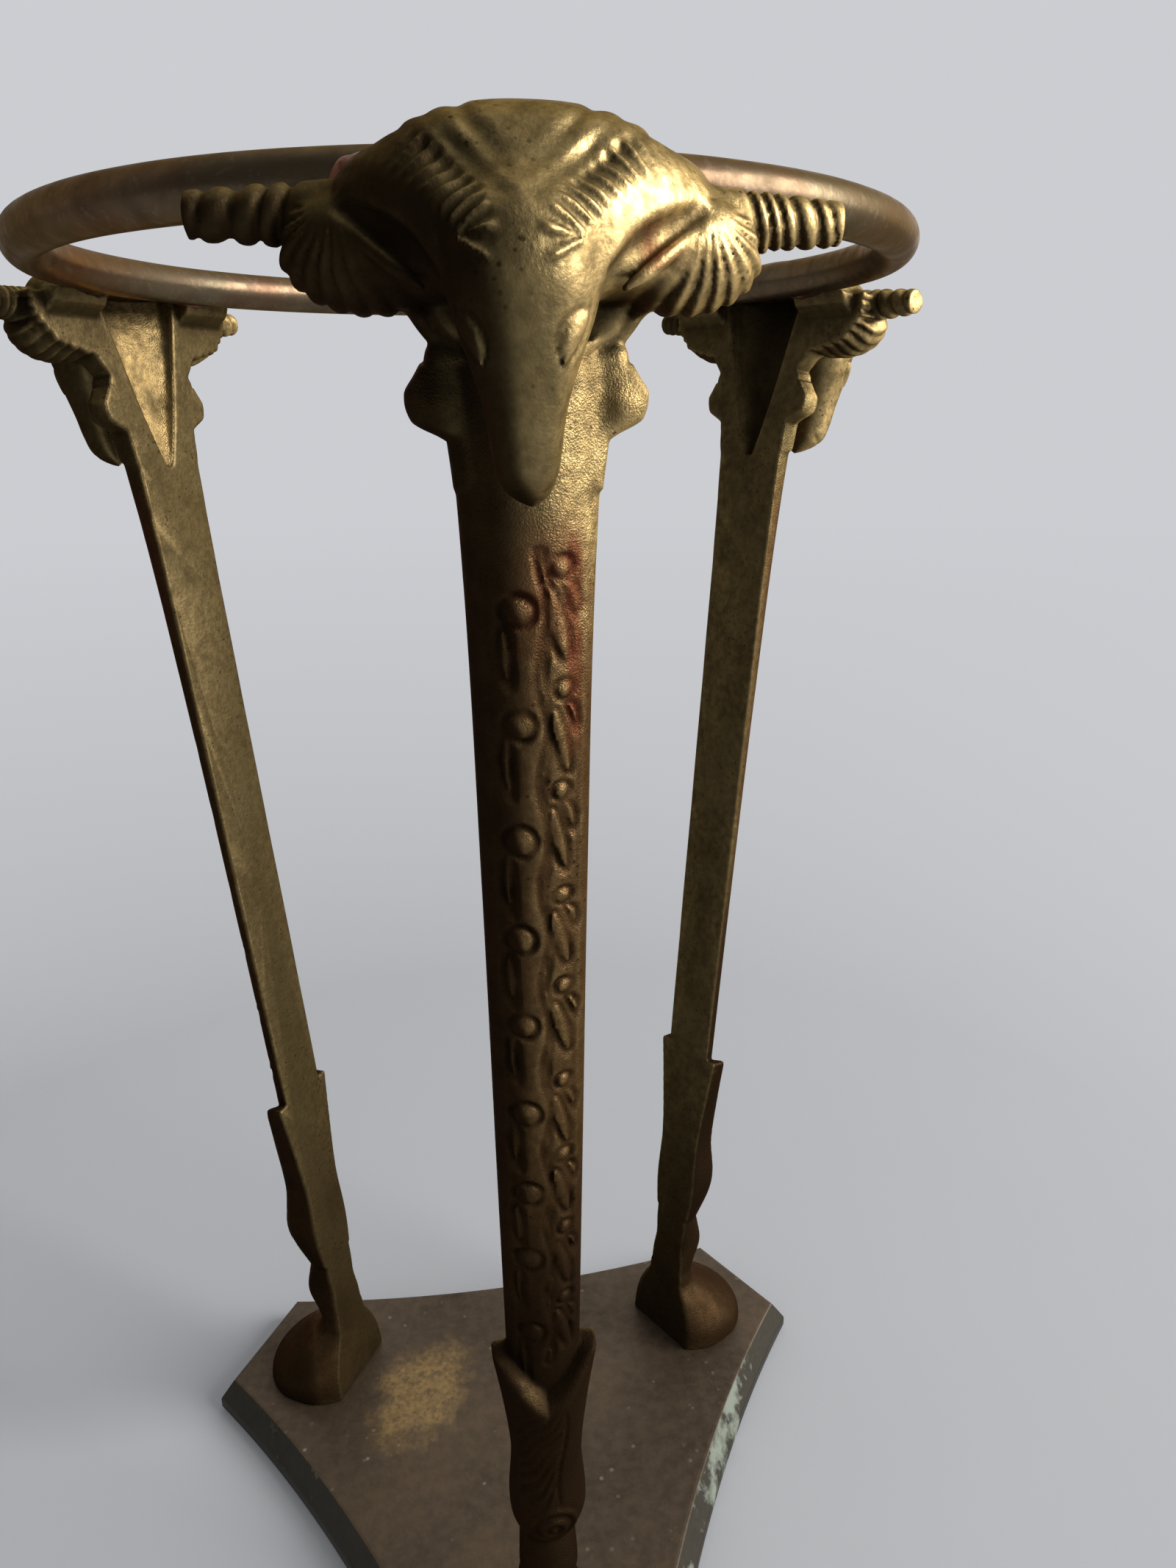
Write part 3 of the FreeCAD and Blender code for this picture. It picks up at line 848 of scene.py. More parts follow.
def boot_curl(x, d, s):
    """The round curl of hair low on the boot: rings within rings."""
    out = np.hypot(x - 0.3, (s - CURL_HEIGHT) / 1.3)
    rings = np.cos(2 * math.pi * out / CURL_PITCH)
    raised = -CURL_DEPTH * rings * (1.0 - ease(out, CURL_RADIUS - 0.5, CURL_RADIUS + 0.4))
    return raised * ease(d, 3.0, 4.0)


def leg_clay(sizes, vine, material):
    """One leg's casting as clay, from hoof to horns."""
    clay = Clay(LEG_BLOCK, sizes.cell / MM)
    clay.add(bar(HOOF, 0.6))
    clay.add(bar(FETLOCK, 0.5), 1.0)
    clay.add(bar(SHANK, 0.5), 1.0)
    clay.press(SHANK_BLOCK, ground)
    clay.chase(vine_mesh(vine, material))
    clay.add(boot_part(), 0.3)
    clay.press(STRAND_BLOCK, boot_strands)
    clay.press(CURL_BLOCK, boot_curl)
    clay.add(plate_part(), 0.8)
    clay.add(both_sides(egg(LOBE_CENTRE, LOBE_SIZE)), 0.8)
    shape_head(clay)
    clay.carve((BACK_BLOCK, lambda x, d, s: d), 0.25)
    clay.carve(bar(HOLLOW, 0.6), 0.4)
    clay.add(both_sides(lip_part()), 0.3)
    clay.carve(ring_part(sizes, RING_PLAY), 0.15)

    def below_base(x, d, s):
        return on_stand(sizes, d, s)[1] - sizes.base_thickness / MM
    clay.carve((SOLE_BLOCK, below_base), 0.1)
    return clay


def hollowness(points, normals, edges, rounds):
    """How far each point lies below its smoothed surroundings, in the points' own unit."""
    counts = np.bincount(edges.ravel(), minlength=len(points))
    smooth = points.copy()
    for _ in range(rounds):
        moved = np.empty_like(smooth)
        for axis in range(3):
            sums = np.bincount(edges[:, 0], smooth[edges[:, 1], axis], len(points))
            sums += np.bincount(edges[:, 1], smooth[edges[:, 0], axis], len(points))
            moved[:, axis] = sums / np.maximum(counts, 1)
        smooth = 0.5 * smooth + 0.5 * moved
    return np.einsum("ij,ij->i", smooth - points, normals)


def new_mesh(name, points, faces):
    """A smooth-shaded mesh, its faces turned outwards."""
    mesh = bpy.data.meshes.new(name)
    mesh.from_pydata(points.tolist(), [], faces.tolist())
    shell = bmesh.new()
    shell.from_mesh(mesh)
    if shell.calc_volume(signed=True) < 0.0:
        bmesh.ops.reverse_faces(shell, faces=shell.faces)
    shell.to_mesh(mesh)
    shell.free()
    mesh.shade_smooth()
    return mesh


def thinned(mesh, most):
    """A mesh with its flat stretches thinned until it has a given number of triangles."""
    holder = add_object(mesh.name, mesh)
    mesh.calc_loop_triangles()
    holder.modifiers.new("Thin", "DECIMATE").ratio = min(1.0, most / len(mesh.loop_triangles))
    return as_made(holder, mesh.name + "_thin")


def points_and_normals(mesh):
    """Where each point of a mesh is, and which way it faces."""
    points = np.empty(len(mesh.vertices) * 3, dtype=np.float32)
    mesh.vertices.foreach_get("co", points)
    normals = np.empty_like(points)
    mesh.vertex_normals.foreach_get("vector", normals)
    return points.reshape(-1, 3), normals.reshape(-1, 3)


def mark(mesh, name, values):
    """Keeps a number from 0 to 1 for each point of a mesh, for its material to read."""
    attribute = mesh.attributes.new(name, "FLOAT", "POINT")
    attribute.data.foreach_set("value", np.ascontiguousarray(np.clip(values, 0, 1), dtype=np.float32))


def mark_wear(mesh):
    """Marks recesses, where dirt stays, and ridges, where hands rub."""
    points, normals = points_and_normals(mesh)
    edges = np.empty(len(mesh.edges) * 2, dtype=np.int32)
    mesh.edges.foreach_get("vertices", edges)
    edges = edges.reshape(-1, 2)
    fine = hollowness(points, normals, edges, FINE_ROUNDS)
    broad = hollowness(points, normals, edges, BROAD_ROUNDS)
    mark(mesh, "recess", np.clip(fine / FINE_HOLLOW, 0, 1) * 0.4 + np.clip(broad / BROAD_HOLLOW, 0, 1) * 0.6)
    mark(mesh, "rub", np.clip(-fine / FINE_RIDGE, 0, 1) * 0.6 + np.clip(-broad / BROAD_RIDGE, 0, 1) * 0.4)


class Skin:
    """A casting's points in the leg's own frame, with how far right on the stand each is and faces."""

    def __init__(self, mesh, turn):
        points, normals = points_and_normals(mesh)
        self.x, y, self.s = points.T
        sideways, backwards, self.upward = normals.T
        self.depth = -y
        along, across = math.cos(math.radians(turn)), -math.sin(math.radians(turn))
        self.facing = along * sideways + across * backwards
        self.right = along * self.x + across * (y + LEG_MIDDLE)
        self.head = ease(self.s, *HEAD_FADE)
        self.front = ease(self.depth, 0.25, 0.8)
        self.chin = between(self.s, CHIN_GRAIN) * (1.0 - ease(self.depth, 9.0, 12.0)) * (self.depth > 0.4)
        half, deep = follow(HOLLOW, self.s)[:2]
        self.hollow = (self.depth > 0.3) & (np.abs(self.x) < half) & (self.depth < deep + 0.4)
        self.hollow &= self.s > GILT_HOLLOW
        rim = np.abs(boot_rim(self.x, self.depth, self.s))
        self.collar = (1.0 - ease(rim, 0.2, 0.7)) * (1.0 - ease(self.x, -1.0, 3.5))
        self.collar *= ease(self.depth, 4.0, 5.0)

    def grain(self):
        """Pitted under the chin and in the hollow, and a little on the shank."""
        return self.chin + self.hollow + 0.35 * self.front * (1.0 - self.head)

    def gold(self):
        """Bright gold on the right of the head, partly rubbed wear and partly a painted highlight on faces
        towards the lamp; a little on upward faces of the crown, the collar, the neck's right and the hollow's
        faces turned right, these also partly painted highlight.
        """
        # painted highlight on faces turned towards the lamp on the right, with rubbed wear on the head's right
        right_rub_and_highlight = np.maximum(ease(self.facing, 0.0, 0.6), ease(self.right, 7.0, 10.0))
        right_rub_and_highlight *= ease(self.right, 0.0, 3.0) * self.head * (1.0 - 0.6 * ease(self.upward, 0.3, 0.75))
        crown = 0.22 * self.head * ease(self.upward, 0.35, 0.85) * ease(self.right, -9.0, -2.0)
        neck = 0.35 * self.chin * ease(self.right, 0.0, 4.0) + 0.6 * self.hollow * ease(self.facing, -0.2, 0.4)
        return np.maximum(right_rub_and_highlight, crown) * self.front + 0.4 * self.collar + neck

    def dark(self, most):
        """Painted shade on faces turned from the lamp or downwards and on the stand's left, where it is partly
        real dark patina; nearly black on the boot, with painted shade on the hoof's faces towards the lamp;
        and, more weakly, darker on the flat back, most low down.
        """
        # painted shade on faces turned away from the lamp on the right, and downwards
        shade_facing_away = most * ease(-self.facing - 0.45 * self.upward, 0.05, 0.6)
        # painted shade on the stand's left, partly real dark patina, lighter on the head's upward faces
        left_shade_and_patina = most * ease(-self.right, 1.5 + 4.0 * self.head, 4.5 + 5.0 * self.head)
        left_shade_and_patina *= 1.0 - 0.7 * self.head * ease(self.upward, 0.3, 0.8)
        # painted shade: the hoof is darker on its faces turned towards the lamp
        hoof = 0.18 + 0.42 * ease(self.facing, -0.1, 0.6)
        foot = (hoof + (0.86 - hoof) * ease(self.s, 10.0, 26.0)) * (1.0 - 0.25 * self.collar)
        foot *= 1.0 - ease(self.s, 68.0, 118.0)
        flat_back = (0.28 + 0.25 * (1.0 - ease(self.s, 10.0, 80.0))) * (1.0 - self.front)
        cover = np.maximum(np.maximum(shade_facing_away, left_shade_and_patina), foot) * self.front + flat_back
        return 1.0 - (1.0 - np.clip(cover, 0, 1)) ** 2

    def stain(self):
        """Reddish in a streak down the shank's right, under the chin, in the right ear and at the ring."""
        streak = between(self.x, STREAK_SIDE, 0.8) * between(self.s, STREAK)
        chin = 0.5 * between(self.s, CHIN_STAIN) * between(self.x, CHIN_STAIN_SIDE)
        joint = ease(self.s, 207.5, 209.5) * (1.0 - ease(self.depth, 2.0, 5.0)) * (self.x > 6.0)
        ear = 0.8 * between(self.x, EAR_STAIN_SIDE) * ease(self.depth, 10.4, 11.6) * between(self.s, EAR_STAIN)
        return (streak + chin) * self.front + joint + ear


def mark_patina(mesh, turn):
    """Marks a casting's patina, painted highlight and painted shade, which lie the same way round on the stand
    for every leg.
    """
    skin = Skin(mesh, turn)
    mark(mesh, "front", skin.front * (1.0 - skin.head))
    mark(mesh, "grain", skin.grain())
    # gold holds a painted highlight and dark holds painted shade, besides real wear and patina
    mark(mesh, "gold", skin.gold())
    mark(mesh, "dark", skin.dark(REAR_SHADE if turn else FRONT_SHADE))
    mark(mesh, "stain", skin.stain())


def mottle_group(name):
    """Shader group: soft patches of tarnish."""
    tree, given, result = new_tree(
        name, "ShaderNodeTree", {"Scale": 60.0, "Low": 0.35, "High": 0.65}, {"Mask": "Float"})
    place = node(tree, "ShaderNodeTexCoord").outputs["Object"]
    broad = node(tree, "ShaderNodeTexNoise", {
        "Vector": place, "Scale": given.outputs["Scale"], "Detail": 6.0, "Roughness": 0.62})
    mask = node(tree, "ShaderNodeMapRange", {
        "Value": broad.outputs["Fac"], "From Min": given.outputs["Low"], "From Max": given.outputs["High"]})
    tree.links.new(mask.outputs[0], result.inputs["Mask"])
    return tree


def speckle_group(name):
    """Shader group: small scattered spots."""
    tree, given, result = new_tree(name, "ShaderNodeTree", {"Scale": 400.0, "Size": 0.25}, {"Mask": "Float"})
    place = node(tree, "ShaderNodeTexCoord").outputs["Object"]
    cells = node(tree, "ShaderNodeTexVoronoi", {
        "Vector": place, "Scale": given.outputs["Scale"], "Randomness": 1.0})
    size = given.outputs["Size"]
    mask = node(tree, "ShaderNodeMapRange", {
        "Value": cells.outputs["Distance"], "From Min": size, "From Max": maths(tree, "MULTIPLY", size, 0.55)})
    tree.links.new(mask.outputs[0], result.inputs["Mask"])
    return tree


def grain_group(name):
    """Shader group: the pitted skin of a sand casting, as a height."""
    tree, given, result = new_tree(
        name, "ShaderNodeTree", {"Scale": 1500.0, "Coarse": 0.0}, {"Height": "Float"})
    place = node(tree, "ShaderNodeTexCoord").outputs["Object"]
    fine = node(tree, "ShaderNodeTexNoise", {
        "Vector": place, "Scale": given.outputs["Scale"], "Detail": 4.0, "Roughness": 0.6})
    pits = node(tree, "ShaderNodeTexNoise", {
        "Vector": place, "Scale": maths(tree, "MULTIPLY", given.outputs["Scale"], 3.0),
        "Detail": 3.0, "Roughness": 0.5})
    lift = maths(tree, "MULTIPLY", given.outputs["Coarse"], 4.0)
    rough = maths(tree, "MULTIPLY", pits.outputs["Fac"], lift)
    tree.links.new(maths(tree, "ADD", fine.outputs["Fac"], rough), result.inputs["Height"])
    return tree


def scratch_group(name):
    """Shader group: fine scratches in two directions."""
    tree, given, result = new_tree(name, "ShaderNodeTree", {"Scale": 120.0, "Amount": 0.5}, {"Mask": "Float"})
    place = node(tree, "ShaderNodeTexCoord").outputs["Object"]
    masks = []
    for turn, stretch in (((0.3, 0.2, 0.6), (1.0, 14.0, 9.0)), ((0.9, -0.4, -0.5), (12.0, 1.0, 10.0))):
        turned = node(tree, "ShaderNodeMapping", {"Vector": place, "Rotation": turn, "Scale": stretch})
        lines = node(tree, "ShaderNodeTexNoise", {
            "Vector": turned.outputs[0], "Scale": given.outputs["Scale"], "Detail": 2.0, "Roughness": 0.4})
        thin = node(tree, "ShaderNodeMapRange", {
            "Value": lines.outputs["Fac"], "From Min": 0.64, "From Max": 0.70})
        masks.append(thin.outputs[0])
    scaled = maths(tree, "MULTIPLY", maths(tree, "MAXIMUM", *masks), given.outputs["Amount"])
    tree.links.new(scaled, result.inputs["Mask"])
    return tree


class Finish:
    """One material under construction. Its short helpers add a node and give what it puts out."""

    def __init__(self, name, metallic=1.0):
        self.material = bpy.data.materials.new(name)
        self.material.use_nodes = True
        self.tree = self.material.node_tree
        self.tree.nodes.clear()
        self.shader = self.node("ShaderNodeBsdfPrincipled")
        self.shader.inputs["Metallic"].default_value = metallic
        self.output = self.node("ShaderNodeOutputMaterial", {"Surface": self.shader.outputs[0]})

    def node(self, kind, inputs=None, **settings):
        return node(self.tree, kind, inputs, **settings)

    def group(self, maker, name, **values):
        """What a shader group puts out. The group is built the first time it is asked for."""
        tree = bpy.data.node_groups.get(name) or maker(name)
        return self.node("ShaderNodeGroup", values, node_tree=tree).outputs[0]

    def mottle(self, scale, low, high):
        return self.group(mottle_group, "Tarnish mottle", Scale=scale, Low=low, High=high)

    def speckle(self, scale, size):
        return self.group(speckle_group, "Speckle", Scale=scale, Size=size)

    def grain(self, scale, coarse=0.0):
        return self.group(grain_group, "Cast grain", Scale=scale, Coarse=coarse)

    def scratches(self, scale, amount):
        return self.group(scratch_group, "Fine scratches", Scale=scale, Amount=amount)

    def marked(self, name):
        return self.node("ShaderNodeAttribute", attribute_name=name).outputs["Fac"]

    def maths(self, operation, first, second, clamp=False):
        return maths(self.tree, operation, first, second, clamp)

    def times(self, first, second, clamp=False):
        return self.maths("MULTIPLY", first, second, clamp)

    def plus(self, first, second, clamp=False):
        return self.maths("ADD", first, second, clamp)

    def spread(self, value, from_low, from_high, to_low, to_high):
        return self.node("ShaderNodeMapRange", {
            "Value": value, "From Min": from_low, "From Max": from_high,
            "To Min": to_low, "To Max": to_high}).outputs[0]

    def span(self, mask, low, high):
        """A mask's 0 and 1 turned into two other values."""
        return self.spread(mask, 0.0, 1.0, low, high)

    def mix(self, mask, under, over):
        return self.node("ShaderNodeMix", {0: mask, 6: under, 7: over}, data_type="RGBA").outputs[2]

    def layers(self, colour, *coats):
        """A colour under coats of others, each a mask and a colour."""
        for mask, coat in coats:
            colour = self.mix(mask, colour, tuple(coat))
        return colour

    def finish(self, colour, roughness, height, strength, distance):
        """The material, once its colour, roughness and bumps are linked."""
        bump = self.node("ShaderNodeBump", {"Height": height, "Strength": strength, "Distance": distance})
        for label, socket in (("Base Color", colour), ("Roughness", roughness), ("Normal", bump.outputs[0])):
            self.tree.links.new(socket, self.shader.inputs[label])
        return self.material


def tinted(colour, *factors):
    """A colour with its red, green and blue multiplied by one factor or by three."""
    factors = factors if len(factors) == 3 else factors * 3
    return tuple(part * factor for part, factor in zip(colour, factors)) + (1.0,)


def casting_finish(colours):
    """Aged cast brass: rubbed gold ridges with a painted highlight on the side towards the lamp, olive
    tarnish, dark recesses, painted shade on the left and on faces turned from the lamp, pits and copper
    stains.
    """
    made = Finish("Aged cast brass", 0.92)
    made.shader.inputs["Specular Tint"].default_value = (0.42, 0.34, 0.24, 1.0)
    made.shader.inputs["Specular IOR Level"].default_value = 0.3
    front = made.marked("front")
    patches = made.mottle(55.0, 0.36, 0.66)
    clouds = made.mottle(220.0, 0.35, 0.7)
    grit = made.mottle(750.0, 0.4, 0.62)
    # gold: rubbed wear plus a painted highlight on the side towards the lamp
    gold = made.times(made.marked("gold"), made.span(clouds, 0.9, 0.4))
    # dark: painted shade on the left and on faces turned from the lamp, partly real dark patina
    dark = made.times(made.marked("dark"), made.span(patches, 0.9, 1.0))
    ridges = made.times(made.marked("rub"), made.span(patches, 0.3, 0.75))
    ridges = made.times(ridges, made.span(front, 1.0, 0.6))
    # worn is rubbed ridges plus the painted highlight, kept off the painted shade
    worn = made.plus(made.times(ridges, made.span(dark, 1.0, 0.1)), gold)
    worn = made.times(worn, made.span(grit, 1.15, 0.6), True)
    hollows = made.times(made.marked("recess"), made.span(front, 1.0, 1.4))
    spots = made.plus(made.times(clouds, 0.18), made.times(grit, 0.2))
    dirt = made.times(made.plus(hollows, spots, True), made.span(gold, 1.0, 0.6))
    pits = made.times(made.speckle(950.0, 0.24), made.mottle(130.0, 0.46, 0.6))
    stain = made.times(made.marked("stain"), made.span(clouds, 0.5, 1.0), True)
    olive = made.mix(patches, tuple(colours.olive), tinted(colours.olive, 0.6))
    bronze = made.mix(patches, tuple(colours.bronze), tinted(colours.bronze, 0.7))
    maroon = tinted(colours.copper, 0.44, 0.28, 0.26)
    # The umber coat over dark is painted shade in part. The umber coat over dirt is real patina in the
    # hollows.
    colour = made.layers(
        made.mix(front, olive, bronze), (worn, colours.brass), (dark, colours.umber), (dirt, colours.umber),
        (made.times(pits, 0.75), colours.umber), (stain, maroon))
    soft = made.plus(made.times(dirt, 0.25), made.times(dark, 0.14))
    roughness = made.plus(made.span(clouds, 0.34, 0.5), soft, True)
    return made.finish(colour, roughness, made.grain(1700.0, made.marked("grain")), 0.42, 0.0002)


def rubbed_patch(made, spot):
    """Mask of the skewed, ragged patch that is rubbed golden on the base's top."""
    beyond = made.maths("SUBTRACT", spot["Y"], PATCH_MIDDLE[1] * MM)
    middle = made.plus(made.times(beyond, PATCH_SLANT), PATCH_MIDDLE[0] * MM)
    across = made.maths("DIVIDE", made.maths("SUBTRACT", spot["X"], middle), PATCH_HALF[0] * MM)
    along = made.maths("DIVIDE", beyond, PATCH_HALF[1] * MM)
    squared = made.plus(made.maths("POWER", across, 4.0), made.maths("POWER", along, 4.0))
    ragged = made.span(made.mottle(170.0, 0.35, 0.65), -0.22, 0.22)
    reach = made.plus(made.maths("POWER", squared, 0.25), ragged)
    upper = made.spread(spot["Z"], 0.006, 0.0066, 0.0, 1.0)
    rubbed = made.times(upper, made.spread(reach, 1.15, 0.65, 0.0, 0.4))
    return made.times(rubbed, made.span(made.mottle(900.0, 0.36, 0.6), 0.3, 1.0), True)


def base_finish(colours):
    """Dark brown base: speckled tarnish, a rubbed golden patch, and a darker edge with verdigris."""
    made = Finish("Brown patina base", 0.75)
    patches = made.mottle(38.0, 0.34, 0.68)
    fine = made.mottle(420.0, 0.4, 0.62)
    place = made.node("ShaderNodeTexCoord").outputs["Object"]
    spot = made.node("ShaderNodeSeparateXYZ", {0: place}).outputs
    pale = made.times(made.speckle(330.0, 0.16), made.mottle(90.0, 0.5, 0.7))
    edge = made.times(made.marked("edge"), made.spread(spot["Z"], 0.0001, 0.0006, 0.0, 1.0))
    bloom = made.times(edge, made.mottle(75.0, 0.56, 0.64), True)
    colour = made.layers(
        made.mix(patches, tuple(colours.brown), tinted(colours.brown, 0.55)),
        (made.times(fine, 0.35), tinted(colours.brown, 1.5)),
        (rubbed_patch(made, spot), tinted(colours.brass, 0.76, 0.69, 0.55)),
        (made.times(pale, 0.5), (0.42, 0.38, 0.3, 1.0)),
        (made.times(edge, 0.72), (0.022, 0.023, 0.016, 1.0)),
        (made.times(bloom, 0.85), colours.verdigris))
    roughness = made.plus(made.span(patches, 0.42, 0.56), made.times(bloom, 0.3), True)
    return made.finish(colour, roughness, made.grain(1100.0), 0.3, 0.0002)


def ring_finish(colours):
    """Brown tarnished rod with a coppery tint and fine scratches."""
    made = Finish("Brown tarnished rod", 0.95)
    made.shader.inputs["Specular Tint"].default_value = (0.55, 0.46, 0.36, 1.0)
    patches = made.mottle(45.0, 0.35, 0.68)
    fine = made.mottle(300.0, 0.38, 0.66)
    coppery = tuple(0.8 * brown + 0.3 * copper for brown, copper in zip(colours.brown, colours.copper))
    colour = made.layers(
        made.mix(patches, tinted(colours.brown, 1.7, 1.9, 1.9), tinted(coppery, 1.0)),
        (made.times(fine, 0.4), tinted(colours.brown, 0.5)),
        (made.scratches(110.0, 0.07), (0.52, 0.43, 0.32, 1.0)))
    return made.finish(colour, made.span(fine, 0.3, 0.46), made.grain(900.0), 0.18, 0.0002)


def braze_finish(colours):
    """Dark coppery filler metal, lumpy and oxidised."""
    made = Finish("Coppery filler")
    patches = made.mottle(160.0, 0.35, 0.65)
    colour = made.mix(patches, tuple(colours.copper), tuple(colours.umber))
    return made.finish(colour, made.span(patches, 0.38, 0.62), made.grain(1300.0), 0.4, 0.0003)


def screw_finish(colours):
    """Dull brass with scratches from a screwdriver."""
    made = Finish("Dull brass screw")
    patches = made.mottle(240.0, 0.35, 0.65)
    dull = made.mix(patches, tinted(colours.brass, 0.6), tuple(colours.brown))
    colour = made.layers(dull, (made.scratches(400.0, 0.7), colours.brass))
    return made.finish(colour, made.span(patches, 0.32, 0.5), made.grain(1500.0), 0.15, 0.0002)


def add_piece(name, mesh, slot, *nodes):
    """Links a finished mesh as a piece of the stand, riding on its one body."""
    piece = add_object(name, mesh)
    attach(piece, BODY)
    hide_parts(*nodes)


def ring_tree():
    """Geometry nodes: a rod bent to a hoop, a little uneven as hand work is."""
    tree, given, result = new_tree(
        "Bent rod ring", "GeometryNodeTree",
        {"Geometry": "Geometry", "Radius": 0.055, "Rod Radius": 0.0027, "Height": 0.215, "Unevenness": 0.0001,
         "Material": "Material"},
        {"Geometry": "Geometry"})
    tree.is_modifier = True
    take = given.outputs
    hoop = node(tree, "GeometryNodeCurvePrimitiveCircle", {"Resolution": 240, "Radius": take["Radius"]})
    wobble = node(tree, "ShaderNodeTexNoise", {"Scale": 38.0, "Detail": 1.0})
    centred = node(tree, "ShaderNodeVectorMath", {
        0: wobble.outputs["Color"], 1: (0.5, 0.5, 0.5)}, operation="SUBTRACT")
    small = node(tree, "ShaderNodeVectorMath", {
        0: centred.outputs[0], "Scale": take["Unevenness"]}, operation="SCALE")
    rise = node(tree, "ShaderNodeCombineXYZ", {"Z": take["Height"]})
    offset = node(tree, "ShaderNodeVectorMath", {0: small.outputs[0], 1: rise.outputs[0]})
    bent = node(tree, "GeometryNodeSetPosition", {"Geometry": hoop.outputs[0], "Offset": offset.outputs[0]})
    section = node(tree, "GeometryNodeCurvePrimitiveCircle", {"Resolution": 40, "Radius": take["Rod Radius"]})
    swept = node(tree, "GeometryNodeCurveToMesh", {
        "Curve": bent.outputs[0], "Profile Curve": section.outputs[0]})
    smooth = node(tree, "GeometryNodeSetShadeSmooth", {"Geometry": swept.outputs[0]})
    real = node(tree, "GeometryNodeRealizeInstances", {0: smooth.outputs[0]})
    coated = node(tree, "GeometryNodeSetMaterial", {
        "Geometry": real.outputs[0], "Material": take["Material"]})
    tree.links.new(coated.outputs[0], result.inputs[0])
    return tree


def base_outline(grow):
    """The base's outline in millimetres: three straight cut corners joined by three hollowed sides."""
    corners = []
    for turn in (-90.0, 30.0, 150.0):
        angle = math.radians(turn)
        out = Vector((math.cos(angle), math.sin(angle))) * (CORNER_REACH + grow)
        along = Vector((-math.sin(angle), math.cos(angle))) * (CORNER_HALF + grow * math.tan(math.pi / 6))
        corners.append((out - along, out + along))
    points = []
    for index, (start, end) in enumerate(corners):
        points += [start.lerp(end, step / CORNER_STEPS) for step in range(CORNER_STEPS)]
        angle = math.radians(-30.0 + 120.0 * index)
        inward = Vector((math.cos(angle), math.sin(angle)))
        following = corners[(index + 1) % 3][0]
        chord = (following - end).length / 2
        sag = end.dot(inward) - (SIDE_REACH + grow)
        radius = (chord ** 2 + sag ** 2) / (2 * sag)
        centre = inward * (SIDE_REACH + grow + radius)
        sweep = math.asin(chord / radius)
        for step in range(SIDE_STEPS):
            bend = angle + math.pi + sweep - 2 * sweep * step / SIDE_STEPS
            points.append(centre + Vector((math.cos(bend), math.sin(bend))) * radius)
    return points


def shell_object(name, shell):
    """A new object from a shell of faces, which is then freed."""
    mesh = bpy.data.meshes.new(name)
    shell.to_mesh(mesh)
    shell.free()
    return add_object(name, mesh)


def base_mesh(sizes):
    """The base plate with rounded edges and three countersunk holes beneath."""
    shell = bmesh.new()
    rows = []
    for grow, z in EDGE_ROWS:
        rows.append([shell.verts.new((p.x * MM, p.y * MM, z * MM)) for p in base_outline(grow)])
    count = len(rows[0])
    for lower, upper in zip(rows, rows[1:]):
        for index in range(count):
            after = (index + 1) % count
            shell.faces.new((lower[index], lower[after], upper[after], upper[index]))
    shell.faces.new(list(reversed(rows[0])))
    shell.faces.new(rows[-1])
    plate = shell_object("base_plate_blank", shell)
    drill = drill_object(sizes)
    cut = plate.modifiers.new("Countersunk holes", "BOOLEAN")
    cut.object = drill
    cut.solver = "EXACT"
    drilled = as_made(plate, "base_plate_dressed")
    bpy.data.objects.remove(drill)
    return drilled


def drill_object(sizes):
    """Three countersunk cutters below the hooves."""
    shell = bmesh.new()
    for turn in LEG_TURNS.values():
        place = Matrix.Rotation(math.radians(turn), 4, "Z") @ Matrix.Translation(
            (0.0, -(sizes.foot_reach + sizes.screw_set), 0.0))
        line = [shell.verts.new(place @ Vector((radius * MM, 0.0, z * MM))) for radius, z in SCREW_HOLE]
        edges = [shell.edges.new(pair) for pair in zip(line, line[1:])]
        bmesh.ops.spin(shell, geom=line + edges, cent=place.translation, axis=(0, 0, 1),
                       angle=2 * math.pi, steps=40, use_merge=True)
    bmesh.ops.remove_doubles(shell, verts=shell.verts, dist=1e-6)
    bmesh.ops.recalc_face_normals(shell, faces=shell.faces)
    return shell_object("drill", shell)


def braze_mesh(sizes):
    """The front leg's right-hand bead, in metres."""
    reach, height = sizes.ring_radius / MM + BRAZE_OUT, sizes.ring_height / MM - BRAZE_DROP
    rows = []
    for degrees, radius in BRAZE_ROWS:
        angle = math.radians(degrees)
        rows.append((reach * math.sin(angle), reach * math.cos(angle), height, radius))
    box, bead = rod(rows, 14)

    def lumpy(x, d, s):
        lumps = np.sin(1.9 * x + 0.7 * s) * np.sin(1.5 * d - 1.1 * x) * np.sin(2.1 * s + 0.4 * d)
        return bead(x, d, s) + BRAZE_LUMPS * lumps
    clay = Clay((box[0] - 1, box[1] + 1), BRAZE_CELL)
    clay.add((box, lumpy), 0.2)
    points, faces = clay.surface()
    return new_mesh("braze_bead", points * MM, faces)


def turned_copy(mesh, name, place):
    """A copy of a mesh with its place in its points, its faces kept outwards."""
    copy = mesh.copy()
    copy.name = name
    copy.transform(place)
    if place.determinant() < 0.0:
        copy.flip_normals()
    return copy


